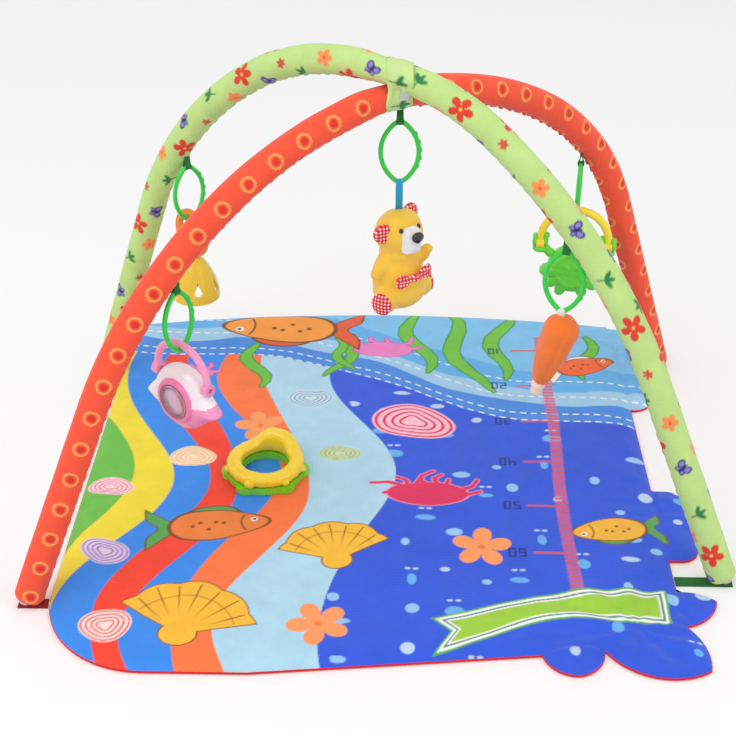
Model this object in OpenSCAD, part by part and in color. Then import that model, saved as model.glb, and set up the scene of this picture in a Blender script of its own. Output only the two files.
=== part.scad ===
// Activity play gym: a padded floor mat, two crossed bendy arches in fabric sleeves,
// five linked hanging toys and a loose ring rattle.
// Millimetres. X runs left to right, Y from front to back and Z up.
// The origin is on the floor below the middle of the gym.

/* [Mat] */
// Width of the mat body without its side lobes
mat_w = 758; // [740:1:900]
// Depth of the mat body, front to back
mat_d = 818; // [780:1:960]
// How far the mat body lies left of the gym's middle
mat_shift = 17; // [0:1:20]
// Thickness of the whole padded mat
mat_t = 11; // [8:0.5:16]
// Thickness of the printed cover and of the red backing
cloth_t = 1.2; // [0.8:0.1:2]
// Width of the red edge binding
binding_w = 2.4; // [1.5:0.1:4]
// Height of the red edge binding
binding_h = 4; // [2:0.5:6]
// How far the lobes stand out past the right edge
lobe_reach = 40; // [20:1:42]
// Length of the three corner petals
petal_l = 52; // [35:1:56]

/* [Arches] */
// Outer diameter of both padded sleeves
sleeve_d = 36; // [30:1:40]
// Top of the green arch's centre line above the floor
arch_top = 568; // [520:1:620]
// Foot lean from level, at both front feet
front_lean = 65; // [62:0.5:68]
// Foot lean from level, at both back feet
back_lean = 69; // [66:0.5:72]
// How far each front foot stands out past half the mat width
foot_out = 43; // [41:1:60]
// Front right foot of the green arch, in front of the middle
green_front_y = 237; // [232:1:240]
// Back left foot of the green arch, behind the middle
green_back_y = 235; // [210:1:260]
// Front left foot of the orange arch, in front of the middle
orange_front_y = 292; // [270:1:310]
// Back right foot of the orange arch, behind the middle
orange_back_y = 270; // [250:1:290]
// Diameter of the plastic rods inside the sleeves
rod_d = 14; // [10:0.5:16]
// Wall of the hollow rods
rod_wall = 2; // [1:0.5:3]
// Wall of the couplers that join the rods
coupler_wall = 2; // [1.5:0.5:3]
// Length of each coupler
coupler_l = 26; // [20:1:28]

/* [Links and loops] */
// Thickness of the round link wire
wire_d = 6; // [5:0.5:6]
// Outer height of a link ring
link_h = 83; // [80:1:100]
// Outer width of a link ring
link_w = 52; // [46:1:58]
// Outer radius of a link ring's narrow ends
link_end_r = 11.5; // [11:0.5:13]
// Width of the webbing tape in the hanging loops
tape_w = 9; // [7:0.5:10]
// Thickness of the webbing tape
tape_t = 1.3; // [1:0.1:1.6]
// Drop from a sleeve's underside to the wire of its link
loop_drop = 13; // [11:1:20]
// Drop from the crossing strap to the wire of the middle link
centre_drop = 9; // [9:1:20]

/* [Bear] */
// Radius of the bear's head
bear_head_r = 32; // [28:1:34]
// Radius of the bear's tummy
bear_body_r = 36; // [34:1:38]
// Length of the blue strap above the bear's head
bear_strap_l = 36; // [25:1:50]

/* [Bell] */
// Outer diameter of the orange bell ring
bell_ring_d = 68; // [60:1:76]
// Thickness of the orange bell ring
bell_ring_t = 11; // [9:0.5:12]
// Outer diameter of the yellow bell at its mouth
bell_d = 66; // [60:1:74]
// Height of the yellow bell
bell_h = 60; // [54:1:70]
// Diameter of the ball in the bell
bell_ball_d = 24; // [18:1:28]

/* [Rattles] */
// Outer diameter of the fish rattle's round body
fish_d = 84; // [76:1:84]
// Thickness of the fish rattle's round body
fish_t = 34; // [28:1:38]
// Diameter of the fish rattle's clear drum
drum_d = 36; // [30:1:38]
// Thickness of the fish rattle's pink handle
fish_handle_t = 9; // [6:0.5:9]
// Diameter of the crab's round body
crab_d = 70; // [64:1:72]
// Thickness of the crab's round body
crab_t = 24; // [20:1:28]
// Thickness of the crab's yellow handle
crab_handle_t = 11; // [8:0.5:11]
// Length of the soft carrot with its tip
carrot_l = 122; // [90:1:125]
// Diameter of the soft carrot
carrot_d = 46; // [40:1:50]
// Outer diameter of the ring rattle
ring_d = 104; // [96:1:116]
// Diameter of the hole in the ring rattle
ring_hole_d = 62; // [56:1:66]

/* [Hidden] */
$fn = 64;

// Clearances: beside a seat, around a running pin, and between a rod and what holds it.
seat_gap = 0.3;
pin_gap = 0.05;
big = 3000;

// ---------------------------------------------------------------- mat outline
mat_x0 = -mat_w / 2 - mat_shift;
mat_x1 = mat_w / 2 - mat_shift;
mat_y0 = -mat_d / 2;
mat_y1 = mat_d / 2;
front_left_r = 130;
back_left_r = 48;
back_right_r = 60;
front_slope = 5.9;
back_bulge_r = 2000;
back_lobe_r = 34;
side_lobe_r = 26;
petal_half_w = 46;
small_petal_half_w = 32;

// Rectangle from (x0, y0) to (x1, y1) with its own radius at each corner.
module round_box_2d(x0, y0, x1, y1, r_fl, r_fr, r_bl, r_br) {
    polygon([
        [x0 + r_fl, y0], [x1 - r_fr, y0], [x1, y0 + r_fr], [x1, y1 - r_br],
        [x1 - r_br, y1], [x0 + r_bl, y1], [x0, y1 - r_bl], [x0, y0 + r_fl]
    ]);
    translate([x0 + r_fl, y0 + r_fl]) circle(r_fl);
    translate([x1 - r_fr, y0 + r_fr]) circle(r_fr);
    translate([x0 + r_bl, y1 - r_bl]) circle(r_bl);
    translate([x1 - r_br, y1 - r_br]) circle(r_br);
}

// Pointed petal from two arcs: starts at at, points along angle, inset keeps all edges parallel.
module petal_2d(at, angle, half_w, length, inset) {
    arc_r = (length * length + half_w * half_w) / (2 * half_w);
    translate(at) rotate(angle) intersection() {
        translate([0, arc_r - half_w]) circle(arc_r - inset);
        translate([0, half_w - arc_r]) circle(arc_r - inset);
    }
}

// Whole mat seen from above, pulled in all round by inset.
module mat_outline(inset) {
    intersection() {
        round_box_2d(mat_x0 + inset, mat_y0 + inset, mat_x1 - inset, mat_y1 - inset,
            front_left_r - inset, 20, back_left_r - inset, back_right_r - inset);
        translate([mat_x0 + 250, mat_y0 + inset]) rotate(front_slope) translate([-big / 2, 0]) square(big);
        translate([0, mat_y1 - back_bulge_r]) circle(back_bulge_r - inset);
    }
    side_lobes_2d(inset);
    petals_2d(inset);
}

// Two round lobes along the right edge.
module side_lobes_2d(inset) {
    round_box_2d(mat_x1 - 80, 134 + inset, mat_x1 + lobe_reach - 6 - inset, mat_y1 - 38 - inset,
        back_lobe_r - inset, back_lobe_r - inset, back_lobe_r - inset, back_lobe_r - inset);
    round_box_2d(mat_x1 - 80, -204 + inset, mat_x1 + lobe_reach - inset, -56 - inset,
        side_lobe_r - inset, side_lobe_r - inset, side_lobe_r - inset, side_lobe_r - inset);
}

// Three petals fanned round the front right corner.
module petals_2d(inset) {
    petal_2d([mat_x1 - 4, -291], 18, small_petal_half_w, petal_l, inset);
    petal_2d([mat_x1 - 46, -349.4], -36, petal_half_w + 8, petal_l + 26, inset);
    petal_2d([mat_x1 - 138, -364.5], -84, petal_half_w, petal_l - 10, inset);
}

module mat_layer(z0, z1, inset) {
    translate([0, 0, z0]) linear_extrude(z1 - z0) mat_outline(inset);
}

// Height of the seam where backing and cover meet, behind the binding.
seam_z = mat_t / 2 - 1;

module mat_backing() {
    color("firebrick") difference() {
        mat_layer(0, seam_z, binding_w);
        mat_layer(cloth_t, mat_t, binding_w + cloth_t);
    }
}

module mat_filling() {
    color("whitesmoke") mat_layer(cloth_t, mat_t - cloth_t, binding_w + cloth_t);
}

module mat_cover() {
    color("royalblue") difference() {
        mat_layer(seam_z, mat_t, binding_w);
        mat_layer(0, mat_t - cloth_t, binding_w + cloth_t);
    }
}

module mat_binding() {
    color("red") difference() {
        mat_layer(seam_z - binding_h / 2, seam_z + binding_h / 2, 0);
        mat_layer(0, mat_t, binding_w);
    }
}

// ---------------------------------------------------------------- arches
// Each arch is an elastic rod: a straight leg, a wide shoulder arc, a tight crown arc,
// then the same down to the back foot. Angles are slopes of the centre line.
front_foot_x = mat_w / 2 + foot_out;
back_foot_x = front_foot_x - 4;
sleeve_r = sleeve_d / 2;
green_crown_r = 299;
green_crown_slope = 34;
green_leg_extra = 51;
orange_crown_r = 420;
orange_crown_slope = 30;
orange_leg_extra = 69;

// [plan start, plan end, top, front lean, back lean, crown slope, crown radius, extra length of the back leg]
green_plan = [[front_foot_x, -green_front_y], [-back_foot_x, green_back_y]];
orange_plan = [[-front_foot_x, -orange_front_y], [back_foot_x, orange_back_y]];

// Front leg length that lets all arcs meet smoothly at the wanted top.
function front_leg(span, top, b1, b2, slope, crown_r, extra) =
    let (h = top - crown_r * (1 - cos(slope)))
    let (k1 = (sin(b1) - sin(slope)) / (cos(slope) - cos(b1)))
    let (k2 = (sin(b2) - sin(slope)) / (cos(slope) - cos(b2)))
    (span - 2 * crown_r * sin(slope) - extra * cos(b2) - h * (k1 + k2) + k2 * extra * sin(b2))
        / (cos(b1) + cos(b2) - k1 * sin(b1) - k2 * sin(b2));

function shoulder_r(top, leg, lean, slope, crown_r) =
    (top - crown_r * (1 - cos(slope)) - leg * sin(lean)) / (cos(slope) - cos(lean));

// An arch is [start, heading, span, top, front lean, back lean, crown slope, crown radius,
// front leg, back leg, front shoulder radius, back shoulder radius].
function make_arch(plan, top, slope, crown_r, extra) =
    let (step = plan[1] - plan[0])
    let (span = norm(step))
    let (leg = front_leg(span, top, front_lean, back_lean, slope, crown_r, extra))
    [plan[0], atan2(step[1], step[0]), span, top, front_lean, back_lean, slope, crown_r, leg, leg + extra,
        shoulder_r(top, leg, front_lean, slope, crown_r),
        shoulder_r(top, leg + extra, back_lean, slope, crown_r)];

// Distance along the span to the middle of the crown arc.
function crown_at(a) =
    a[8] * cos(a[4]) + a[10] * (sin(a[4]) - sin(a[6])) + a[7] * sin(a[6]);

// Where the two arches cross in plan, as a distance along the span of the first.
function crossing_along(plan_a, plan_b) =
    let (u = plan_a[1] - plan_a[0])
    let (v = plan_b[1] - plan_b[0])
    let (w = plan_b[0] - plan_a[0])
    (w[0] * v[1] - w[1] * v[0]) / (u[0] * v[1] - u[1] * v[0]) * norm(u);

// Height of the crown arc at a distance along the span.
function crown_z(a, along) = a[3] - a[7] + sqrt(pow(a[7], 2) - pow(along - crown_at(a), 2));

green_arch = make_arch(green_plan, arch_top, green_crown_slope, green_crown_r, green_leg_extra);
green_cross = crossing_along(green_plan, orange_plan);
orange_cross = crossing_along(orange_plan, green_plan);
green_cross_z = crown_z(green_arch, green_cross);

// The orange sleeve passes just under the green one, so its top follows from the crossing.
sleeve_gap = 0.6;
orange_cross_z = green_cross_z - sleeve_d - sleeve_gap;
orange_first = make_arch(orange_plan, orange_cross_z, orange_crown_slope, orange_crown_r, orange_leg_extra);
orange_top = 2 * orange_cross_z - crown_z(orange_first, orange_cross);
orange_arch = make_arch(orange_plan, orange_top, orange_crown_slope, orange_crown_r, orange_leg_extra);

cross_xy = green_plan[0]
    + green_cross * (green_plan[1] - green_plan[0]) / norm(green_plan[1] - green_plan[0]);

// Distance along the span and height at a slope: plus is the front side, minus the back.
function along_at(a, slope) =
    abs(slope) <= a[6] ? crown_at(a) - a[7] * sin(slope)
        : slope > 0 ? a[8] * cos(a[4]) + a[10] * (sin(a[4]) - sin(slope))
        : a[2] - a[9] * cos(a[5]) - a[11] * (sin(a[5]) + sin(slope));
function height_at(a, slope) =
    abs(slope) <= a[6] ? a[3] - a[7] * (1 - cos(slope))
        : slope > 0 ? a[8] * sin(a[4]) + a[10] * (cos(slope) - cos(a[4]))
        : a[9] * sin(a[5]) + a[11] * (cos(slope) - cos(a[5]));
function arch_point(a, slope) =
    [a[0][0] + along_at(a, slope) * cos(a[1]), a[0][1] + along_at(a, slope) * sin(a[1]), height_at(a, slope)];

// Stands an upright plane drawing, X along the span and Y up, onto the arch's plan line.
module on_arch(a) {
    translate([a[0][0], a[0][1], 0]) rotate([0, 0, a[1]]) rotate([90, 0, 0]) children();
}

// Bends children, a round section drawn at the origin, along an arc between two slopes.
module bend(centre, radius, slope_low, slope_high) {
    translate(centre) rotate([0, 0, 90 + slope_low])
        rotate_extrude(angle = slope_high - slope_low) translate([radius, 0]) children();
}

// Straight stretch from a point, at a slope, for children drawn at the origin.
module straight(from, slope, start, length) {
    translate(from) rotate([0, 0, slope]) translate([start, 0, 0]) rotate([0, 90, 0])
        linear_extrude(length) children();
}

function shoulder_centre_front(a) =
    [a[8] * cos(a[4]) + a[10] * sin(a[4]), a[8] * sin(a[4]) - a[10] * cos(a[4])];
function shoulder_centre_back(a) =
    [a[2] - a[9] * cos(a[5]) - a[11] * sin(a[5]), a[9] * sin(a[5]) - a[11] * cos(a[5])];
function crown_centre(a) = [crown_at(a), a[3] - a[7]];

module ring_2d(outer_r, inner_r) {
    difference() {
        circle(outer_r);
        circle(inner_r);
    }
}

module above(z) {
    translate([-big / 2, -big / 2, z]) cube(big);
}

// Stations along the centre line: evenly stepped slopes on each arc, from foot to foot.
turn_step = 4;
function slopes(from, to) =
    let (n = ceil(abs(to - from) / turn_step)) [for (i = [0 : n]) from + (to - from) * i / n];
function leg_station(a, back, height) =
    back ? [a[2] - height / tan(a[5]), height, -a[5]] : [height / tan(a[4]), height, a[4]];
function arc_stations(a, from, to) = [for (t = slopes(from, to)) [along_at(a, t), height_at(a, t), t]];

// Whole centre line as [along, height, slope], with the feet ending at a height.
function arch_stations(a, foot) = concat(
    [leg_station(a, false, foot)],
    arc_stations(a, a[4], a[6]),
    [for (s = arc_stations(a, a[6], -a[6])) if (abs(s[2]) < a[6] - 0.01) s],
    arc_stations(a, -a[6], -a[5]),
    [leg_station(a, true, foot)]
);

// One closed tube of radius r through all stations, with flat ends.
module tube(stations, r, sides) {
    rings = len(stations);
    points = [for (s = stations, k = [0 : sides - 1])
        let (turn = 360 * (k + 0.5) / sides)
        [s[0] - r * cos(turn) * sin(s[2]), s[1] + r * cos(turn) * cos(s[2]), r * sin(turn)]];
    walls = [for (i = [0 : rings - 2], k = [0 : sides - 1])
        [i * sides + k, (i + 1) * sides + k, (i + 1) * sides + (k + 1) % sides, i * sides + (k + 1) % sides]];
    ends = [[for (k = [0 : sides - 1]) k], [for (k = [sides - 1 : -1 : 0]) (rings - 1) * sides + k]];
    polyhedron(points, concat(walls, ends), convexity = 4);
}

// Press studs: a flange on the tab, a nub on the flange and a socket under the foot.
tab_t = 1.6;
tab_w = 16;
stud_r = 6;
stud_flange_t = 0.8;
nub_r = 2;
nub_h = 1.4;
socket_t = 1.8;
foot_z = tab_t + stud_flange_t + socket_t;
foot_wall = 1.6;
sleeve_sides = 24;
bore_sides = 16;
coupler_gap = 0.4;
coupler_r = rod_d / 2 + coupler_gap + coupler_wall;
// Room for the sleeve to bend past the straight couplers.
bore_room = 1.2;
bore_r = (coupler_r + bore_room) / cos(180 / bore_sides);

// Padded fabric tube, closed by a level disc at each foot.
module sleeve(a) {
    difference() {
        on_arch(a) tube(arch_stations(a, -20), sleeve_r, sleeve_sides);
        intersection() {
            on_arch(a) tube(arch_stations(a, -15), bore_r, bore_sides);
            above(foot_z + foot_wall);
        }
        translate([-big / 2, -big / 2, foot_z - big]) cube(big);
    }
}

module green_sleeve() { color("yellowgreen") sleeve(green_arch); }
module orange_sleeve() { color("tomato") sleeve(orange_arch); }

// Rods start a little above the sleeve's closed end, in their caps.
cap_floor = 6;
cap_l = 34;
rod_end_z = foot_z + foot_wall + cap_floor + sleeve_r / 2;

module rod_section() { ring_2d(rod_d / 2, rod_d / 2 - rod_wall); }

module leg_rods(a) {
    front_start = rod_end_z / sin(a[4]);
    back_start = rod_end_z / sin(a[5]);
    color("ghostwhite") on_arch(a) {
        straight([0, 0], a[4], front_start, a[8] - front_start) rod_section();
        straight([a[2], 0], 180 - a[5], back_start, a[9] - back_start) rod_section();
    }
}

module shoulder_rods(a) {
    color("ghostwhite") on_arch(a) {
        bend(shoulder_centre_front(a), a[10], a[6], a[4]) rod_section();
        bend(shoulder_centre_back(a), a[11], -a[5], -a[6]) rod_section();
    }
}

module crown_rod(a) {
    color("ghostwhite") on_arch(a) bend(crown_centre(a), a[7], -a[6], a[6]) rod_section();
}

// Short straight tubes round the four places where two rods meet.
module couplers(a) {
    color("lightgray") on_arch(a) for (slope = [a[4], a[6], -a[6], -a[5]])
        straight([along_at(a, slope), height_at(a, slope)], slope, -coupler_l / 2, coupler_l)
            ring_2d(coupler_r, rod_d / 2 + coupler_gap);
}

// Plastic cap on each rod end, cut level to stand on the sleeve's closed end.
module foot_caps(a) {
    color("lightgray") intersection() {
        on_arch(a) {
            foot_cap([0, 0], a[4], rod_end_z / sin(a[4]));
            foot_cap([a[2], 0], 180 - a[5], rod_end_z / sin(a[5]));
        }
        above(foot_z + foot_wall);
    }
}

module foot_cap(from, slope, rod_start) {
    difference() {
        straight(from, slope, -40, rod_start + cap_l - cap_floor + 40) circle(coupler_r);
        straight(from, slope, rod_start, cap_l) circle(rod_d / 2 + pin_gap);
    }
}

// Foot positions: front left, front right, back left, back right.
foot_fl = orange_plan[0];
foot_fr = green_plan[0];
foot_bl = green_plan[1];
foot_br = orange_plan[1];

// Webbing tab from the mat's edge to the far side of a foot.
module foot_tab(foot) {
    side = sign(foot[0]);
    reach = stud_r + 3;
    color(side < 0 ? "darkred" : "darkgreen") difference() {
        translate([side > 0 ? mat_x1 - 20 : foot[0] - reach, foot[1] - tab_w / 2, 0])
            cube([side > 0 ? foot[0] + reach - mat_x1 + 20 : mat_x0 + 20 - foot[0] + reach, tab_w, tab_t]);
        mat_layer(-1, mat_t, 0);
    }
}

module tab_front_left() { foot_tab(foot_fl); }
module tab_front_right() { foot_tab(foot_fr); }
module tab_back_left() { foot_tab(foot_bl); }
module tab_back_right() { foot_tab(foot_br); }

module tab_studs() {
    color("silver") for (foot = [foot_fl, foot_fr, foot_bl, foot_br]) translate([foot[0], foot[1], tab_t]) {
        cylinder(r = stud_r, h = stud_flange_t);
        cylinder(r = nub_r, h = stud_flange_t + nub_h);
    }
}

module foot_sockets() {
    color("silver") for (foot = [foot_fl, foot_fr, foot_bl, foot_br])
        translate([foot[0], foot[1], tab_t + stud_flange_t]) difference() {
            cylinder(r = stud_r, h = socket_t);
            translate([0, 0, -1]) cylinder(r = nub_r + pin_gap, h = nub_h + 0.1 + 1);
        }
}

// ---------------------------------------------------------------- crossing strap
strap_w = 34;
strap_t = 1.8;
strap_mid_z = (green_cross_z + orange_cross_z) / 2;
patch_t = 1.2;
patch_size = [13, 24];

// A straight stand-in for each sleeve where it crosses, with room for the sleeve's own bend.
bend_room = 1.7;
function slope_along(a, along) = asin((crown_at(a) - along) / a[7]);
module near_crossing(a, along, r) {
    on_arch(a) straight([along, crown_z(a, along)], slope_along(a, along), -2 * sleeve_d, 4 * sleeve_d)
        circle(r);
}
module both_sleeves(extra) {
    near_crossing(green_arch, green_cross, sleeve_r + extra);
    near_crossing(orange_arch, orange_cross, sleeve_r + extra);
}

// Fabric strap drawn round both sleeves where they cross.
module crossing_strap() {
    color("darkseagreen") difference() {
        intersection() {
            union() {
                both_sleeves(bend_room + strap_t);
                translate([cross_xy[0], cross_xy[1], strap_mid_z])
                    cube([strap_w, sleeve_d + 2 * strap_t, sleeve_d], center = true);
            }
            translate([cross_xy[0], cross_xy[1], strap_mid_z])
                cube([strap_w, 4 * sleeve_d, 4 * sleeve_d], center = true);
        }
        both_sleeves(bend_room);
    }
}

module strap_patch() {
    color("gainsboro") difference() {
        translate([cross_xy[0] + 2, cross_xy[1] - sleeve_r - strap_t - patch_t,
            strap_mid_z - patch_size[1] / 2])
            cube([patch_size[0], patch_t, patch_size[1]]);
        both_sleeves(bend_room + strap_t);
    }
}

// ---------------------------------------------------------------- hanging loops and links
wire_r = wire_d / 2;
end_r = link_end_r - wire_r;
half_h = link_h / 2 - wire_r;
half_w = link_w / 2 - wire_r;
side_back = (pow(half_h - end_r, 2) - pow(half_w - end_r, 2)) / (2 * (half_w - end_r));
side_r = half_w + side_back;
side_turn = atan2(half_h - end_r, side_back);
link_drop = 2 * half_h;
tape_hole_r = wire_r + 2.5;
// The wire's inner side curves away to the tape's edges, so its middle rides this far off the hole's centre.
wire_sag = end_r - wire_r - sqrt(pow(end_r - wire_r, 2) - pow(tape_w / 2, 2));
wire_ride = tape_hole_r - seat_gap - wire_r - wire_sag;

// Slopes on the arches at which the toys hang, and the headings of their links.
slope_fl = 45.4;
slope_fr = 47.6;
slope_bl = -55.5;
slope_br = -49.4;
heading_c = 0;
heading_fl = 56;
heading_fr = -20;
heading_bl = 44;
heading_br = 80;
centre_shift = 12;

// The wire's middle, straight below the point where the sleeve's underside has a slope.
function under(a, slope) = arch_point(a, slope)
    + sleeve_r * [sin(slope) * cos(a[1]), sin(slope) * sin(a[1]), -cos(slope)] - [0, 0, loop_drop];
hang_c = [cross_xy[0] + centre_shift, cross_xy[1] + centre_shift * tan(orange_arch[1]),
    orange_cross_z - sleeve_r - bend_room - strap_t - centre_drop];
hang_fl = under(orange_arch, slope_fl);
hang_fr = under(green_arch, slope_fr);
hang_bl = under(green_arch, slope_bl);
hang_br = under(orange_arch, slope_br);

// Tape loop round a wire: up is 1 for a loop that goes up from the wire, -1 for down.
module tape_loop(up, neck_l) {
    hole_z = up * wire_ride;
    difference() {
        union() {
            translate([0, 0, hole_z]) rotate([0, 90, 0])
                cylinder(r = tape_hole_r + tape_t, h = tape_w, center = true);
            translate([0, 0, hole_z + up * neck_l / 2]) cube([tape_w, 2 * tape_t, neck_l], center = true);
        }
        translate([0, 0, hole_z]) rotate([0, 90, 0])
            cylinder(r = tape_hole_r, h = tape_w + 2, center = true);
    }
}

// Tape from a sleeve's underside: its top is cut along the sleeve's own slope.
loop_gap = 0.5;
module hang_loop(at, heading, a, slope, drop = loop_drop) {
    color("forestgreen") intersection() {
        translate(at) rotate([0, 0, heading]) tape_loop(1, drop + sleeve_r);
        translate(at + [0, 0, drop - loop_gap / cos(slope)]) rotate([0, 0, a[1]]) rotate([0, -slope, 0])
            translate([-big / 2, -big / 2, -big]) cube(big);
    }
}

module loop_centre() { hang_loop(hang_c, heading_c, orange_arch, 0, centre_drop); }
module loop_front_left() { hang_loop(hang_fl, heading_fl, orange_arch, slope_fl); }
module loop_front_right() { hang_loop(hang_fr, heading_fr, green_arch, slope_fr); }
module loop_back_left() { hang_loop(hang_bl, heading_bl, green_arch, slope_bl); }
module loop_back_right() { hang_loop(hang_br, heading_br, orange_arch, slope_br); }

// Oval snap link hanging from the origin, in the XZ plane, with a narrow split.
split_turn = 0.6;
split_at = -24;
wire_sides = 12;
// Points of the oval as [x, z, heading], counted from just past the split.
function oval_arc(centre_x, centre_z, radius, from, to, steps) =
    [for (i = [0 : steps]) let (t = from + (to - from) * i / steps)
        [centre_x + radius * cos(t), centre_z + radius * sin(t), t]];
function oval() = concat(
    oval_arc(-side_back, 0, side_r, split_at + split_turn, side_turn, 10),
    oval_arc(0, half_h - end_r, end_r, side_turn + 12, 180 - side_turn - 12, 6),
    oval_arc(side_back, 0, side_r, 180 - side_turn, 180 + side_turn, 14),
    oval_arc(0, end_r - half_h, end_r, 180 + side_turn + 12, 360 - side_turn - 12, 6),
    oval_arc(-side_back, 0, side_r, -side_turn, split_at, 4)
);
module link() {
    stations = [for (p = oval()) [p[0], p[1], p[2] - 90]];
    color("limegreen") translate([0, 0, -half_h]) rotate([90, 0, 0]) tube(stations, wire_r, wire_sides);
}

module hang(at, heading) { translate(at) rotate([0, 0, heading]) children(); }
module below_link(at, heading) { translate(at - [0, 0, link_drop]) rotate([0, 0, heading]) children(); }

module link_centre() { hang(hang_c, heading_c) link(); }
module link_front_left() { hang(hang_fl, heading_fl) link(); }
module link_front_right() { hang(hang_fr, heading_fr) link(); }
module link_back_left() { hang(hang_bl, heading_bl) link(); }
module link_back_right() { hang(hang_br, heading_br) link(); }

// ---------------------------------------------------------------- plush bear
// Faces front, then turns to the right. Its head's top is the end of the blue strap.
bear_turn = 27;
bear_head_z = -bear_strap_l - bear_head_r;
bear_body_z = bear_head_z - bear_head_r - bear_body_r + 8;
bear_leg_r = 15;
bear_leg_l = 14;
bear_leg_spread = 60;
bear_leg_z = bear_body_z - bear_body_r + bear_leg_r + 2;
bear_pad_t = 2.4;
muzzle_size = [26, 15, 36];
muzzle_y = -bear_head_r + 5;
muzzle_z = bear_head_z - 8;
nose_r = 6.5;
ear_r = 13;
ear_t = 8;
ear_turns = [-70, 48];

module on_bear() { below_link(hang_c, heading_c) children(); }
module bear_faced() { on_bear() rotate([0, 0, bear_turn]) children(); }

module bear_head_ball() { translate([0, 0, bear_head_z]) sphere(bear_head_r); }

module bear_strap() {
    color("deepskyblue") on_bear() difference() {
        tape_loop(-1, bear_strap_l + 6);
        bear_head_ball();
    }
}

module bear_leg(side) {
    translate([0, 0, bear_leg_z]) rotate([0, 0, side * bear_leg_spread]) rotate([90, 0, 0])
        cylinder(r = bear_leg_r, h = bear_body_r + bear_leg_l - 8);
}

module bear_shape() {
    bear_head_ball();
    translate([0, 0, bear_body_z]) sphere(bear_body_r);
    for (side = [-1, 1]) {
        bear_leg(side);
        translate([side * (bear_body_r - 2), -8, bear_body_z + 20]) sphere(9);
    }
}

module bear_body() { color("gold") bear_faced() bear_shape(); }

module muzzle_block() {
    translate([0, muzzle_y, muzzle_z]) rotate([90, 0, 0]) linear_extrude(muzzle_size[1])
        round_box_2d(-muzzle_size[0] / 2, -muzzle_size[2] / 2, muzzle_size[0] / 2, muzzle_size[2] / 2,
            7, 7, 7, 7);
}

module bear_muzzle() {
    color("white") bear_faced() difference() {
        muzzle_block();
        bear_shape();
    }
}

module bear_nose() {
    color("black") bear_faced() difference() {
        translate([0, muzzle_y - muzzle_size[1], muzzle_z + 9]) sphere(nose_r);
        muzzle_block();
    }
}

// Two bead eyes stitched flat to the face.
eye_bead_r = 2.8;
eye_bead_t = 1.6;
eye_turn = [-26, 28];
module bear_eyes() {
    color("black") bear_faced() translate([0, 0, bear_head_z]) for (side = [-1, 1])
        rotate([eye_turn[0], 0, side * eye_turn[1]]) translate([0, -bear_head_r, 0]) rotate([90, 0, 0])
            cylinder(r = eye_bead_r, h = eye_bead_t);
}

module bear_ears() {
    color("crimson") bear_faced() difference() {
        for (turn = ear_turns) translate([(bear_head_r + 2) * sin(turn), ear_t / 2 - 3, bear_head_z])
            translate([0, 0, (bear_head_r + 2) * cos(turn)]) rotate([90, 0, 0])
                cylinder(r = ear_r, h = ear_t);
        bear_head_ball();
    }
}

module bear_bow() {
    bow_y = -bear_body_r - 5;
    color("crimson") bear_faced() difference() {
        translate([0, bow_y, bear_body_z + bear_body_r * 0.35]) {
            rotate([90, 0, 0]) linear_extrude(6, center = true) {
                polygon([[0, 4], [20, 11], [20, -11], [0, -4], [-20, -11], [-20, 11]]);
                circle(6);
            }
            rotate([-90, 0, 0]) cylinder(r = 5, h = 12);
        }
        bear_shape();
    }
}

module bear_foot_pads() {
    pad_at = bear_body_r + bear_leg_l - 8;
    color("crimson") bear_faced() for (side = [-1, 1])
        translate([0, 0, bear_leg_z]) rotate([0, 0, side * bear_leg_spread]) translate([0, -pad_at, 0])
            rotate([90, 0, 0]) cylinder(r = bear_leg_r - 2, h = bear_pad_t);
}

// ---------------------------------------------------------------- bell
bell_tube_r = bell_ring_t / 2;
bell_ring_r = bell_ring_d / 2 - bell_tube_r;
bell_ring_z = wire_r + bell_tube_r + seat_gap - bell_ring_r;
bell_wall = 2;
// The bell's eye hangs on the bottom of the ring, with room to swing.
eye_l = 8;
eye_hole_r = bell_tube_r + 0.9;
eye_r = eye_hole_r + 2.6;
eye_sag = bell_ring_r - sqrt(pow(bell_ring_r, 2) - pow(eye_l / 2, 2));
eye_z = bell_ring_z - bell_ring_r - (eye_hole_r - bell_tube_r - seat_gap) + eye_sag / 2;
bell_top_z = eye_z - eye_r + 1.5;
bell_slots = 6;
slot_r = 5;
slot_l = 20;
pivot_z = bell_top_z - 8;
ball_z = bell_top_z - bell_h * 0.56;
ball_arm_r = 2;

// Radius of the bell at a share of its height from the top: quick at first, then nearly upright.
function bell_radius(share) = 9 + (bell_d / 2 - 9) * pow(sin(90 * share), 0.8);
function bell_profile(steps, inset) =
    [for (i = [0 : steps]) [bell_radius(i / steps) - inset, -bell_h * i / steps]];

module bell_ring() {
    color("darkorange") below_link(hang_bl, heading_bl) translate([0, 0, bell_ring_z]) rotate([0, 90, 0])
        rotate_extrude() translate([bell_ring_r, 0]) circle(bell_tube_r);
}

module bell_slot() {
    rotate([90, 0, 0]) linear_extrude(bell_d) {
        circle(slot_r);
        polygon([[-slot_r * 0.94, slot_r * 0.34], [0, slot_l - slot_r], [slot_r * 0.94, slot_r * 0.34]]);
    }
}

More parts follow.
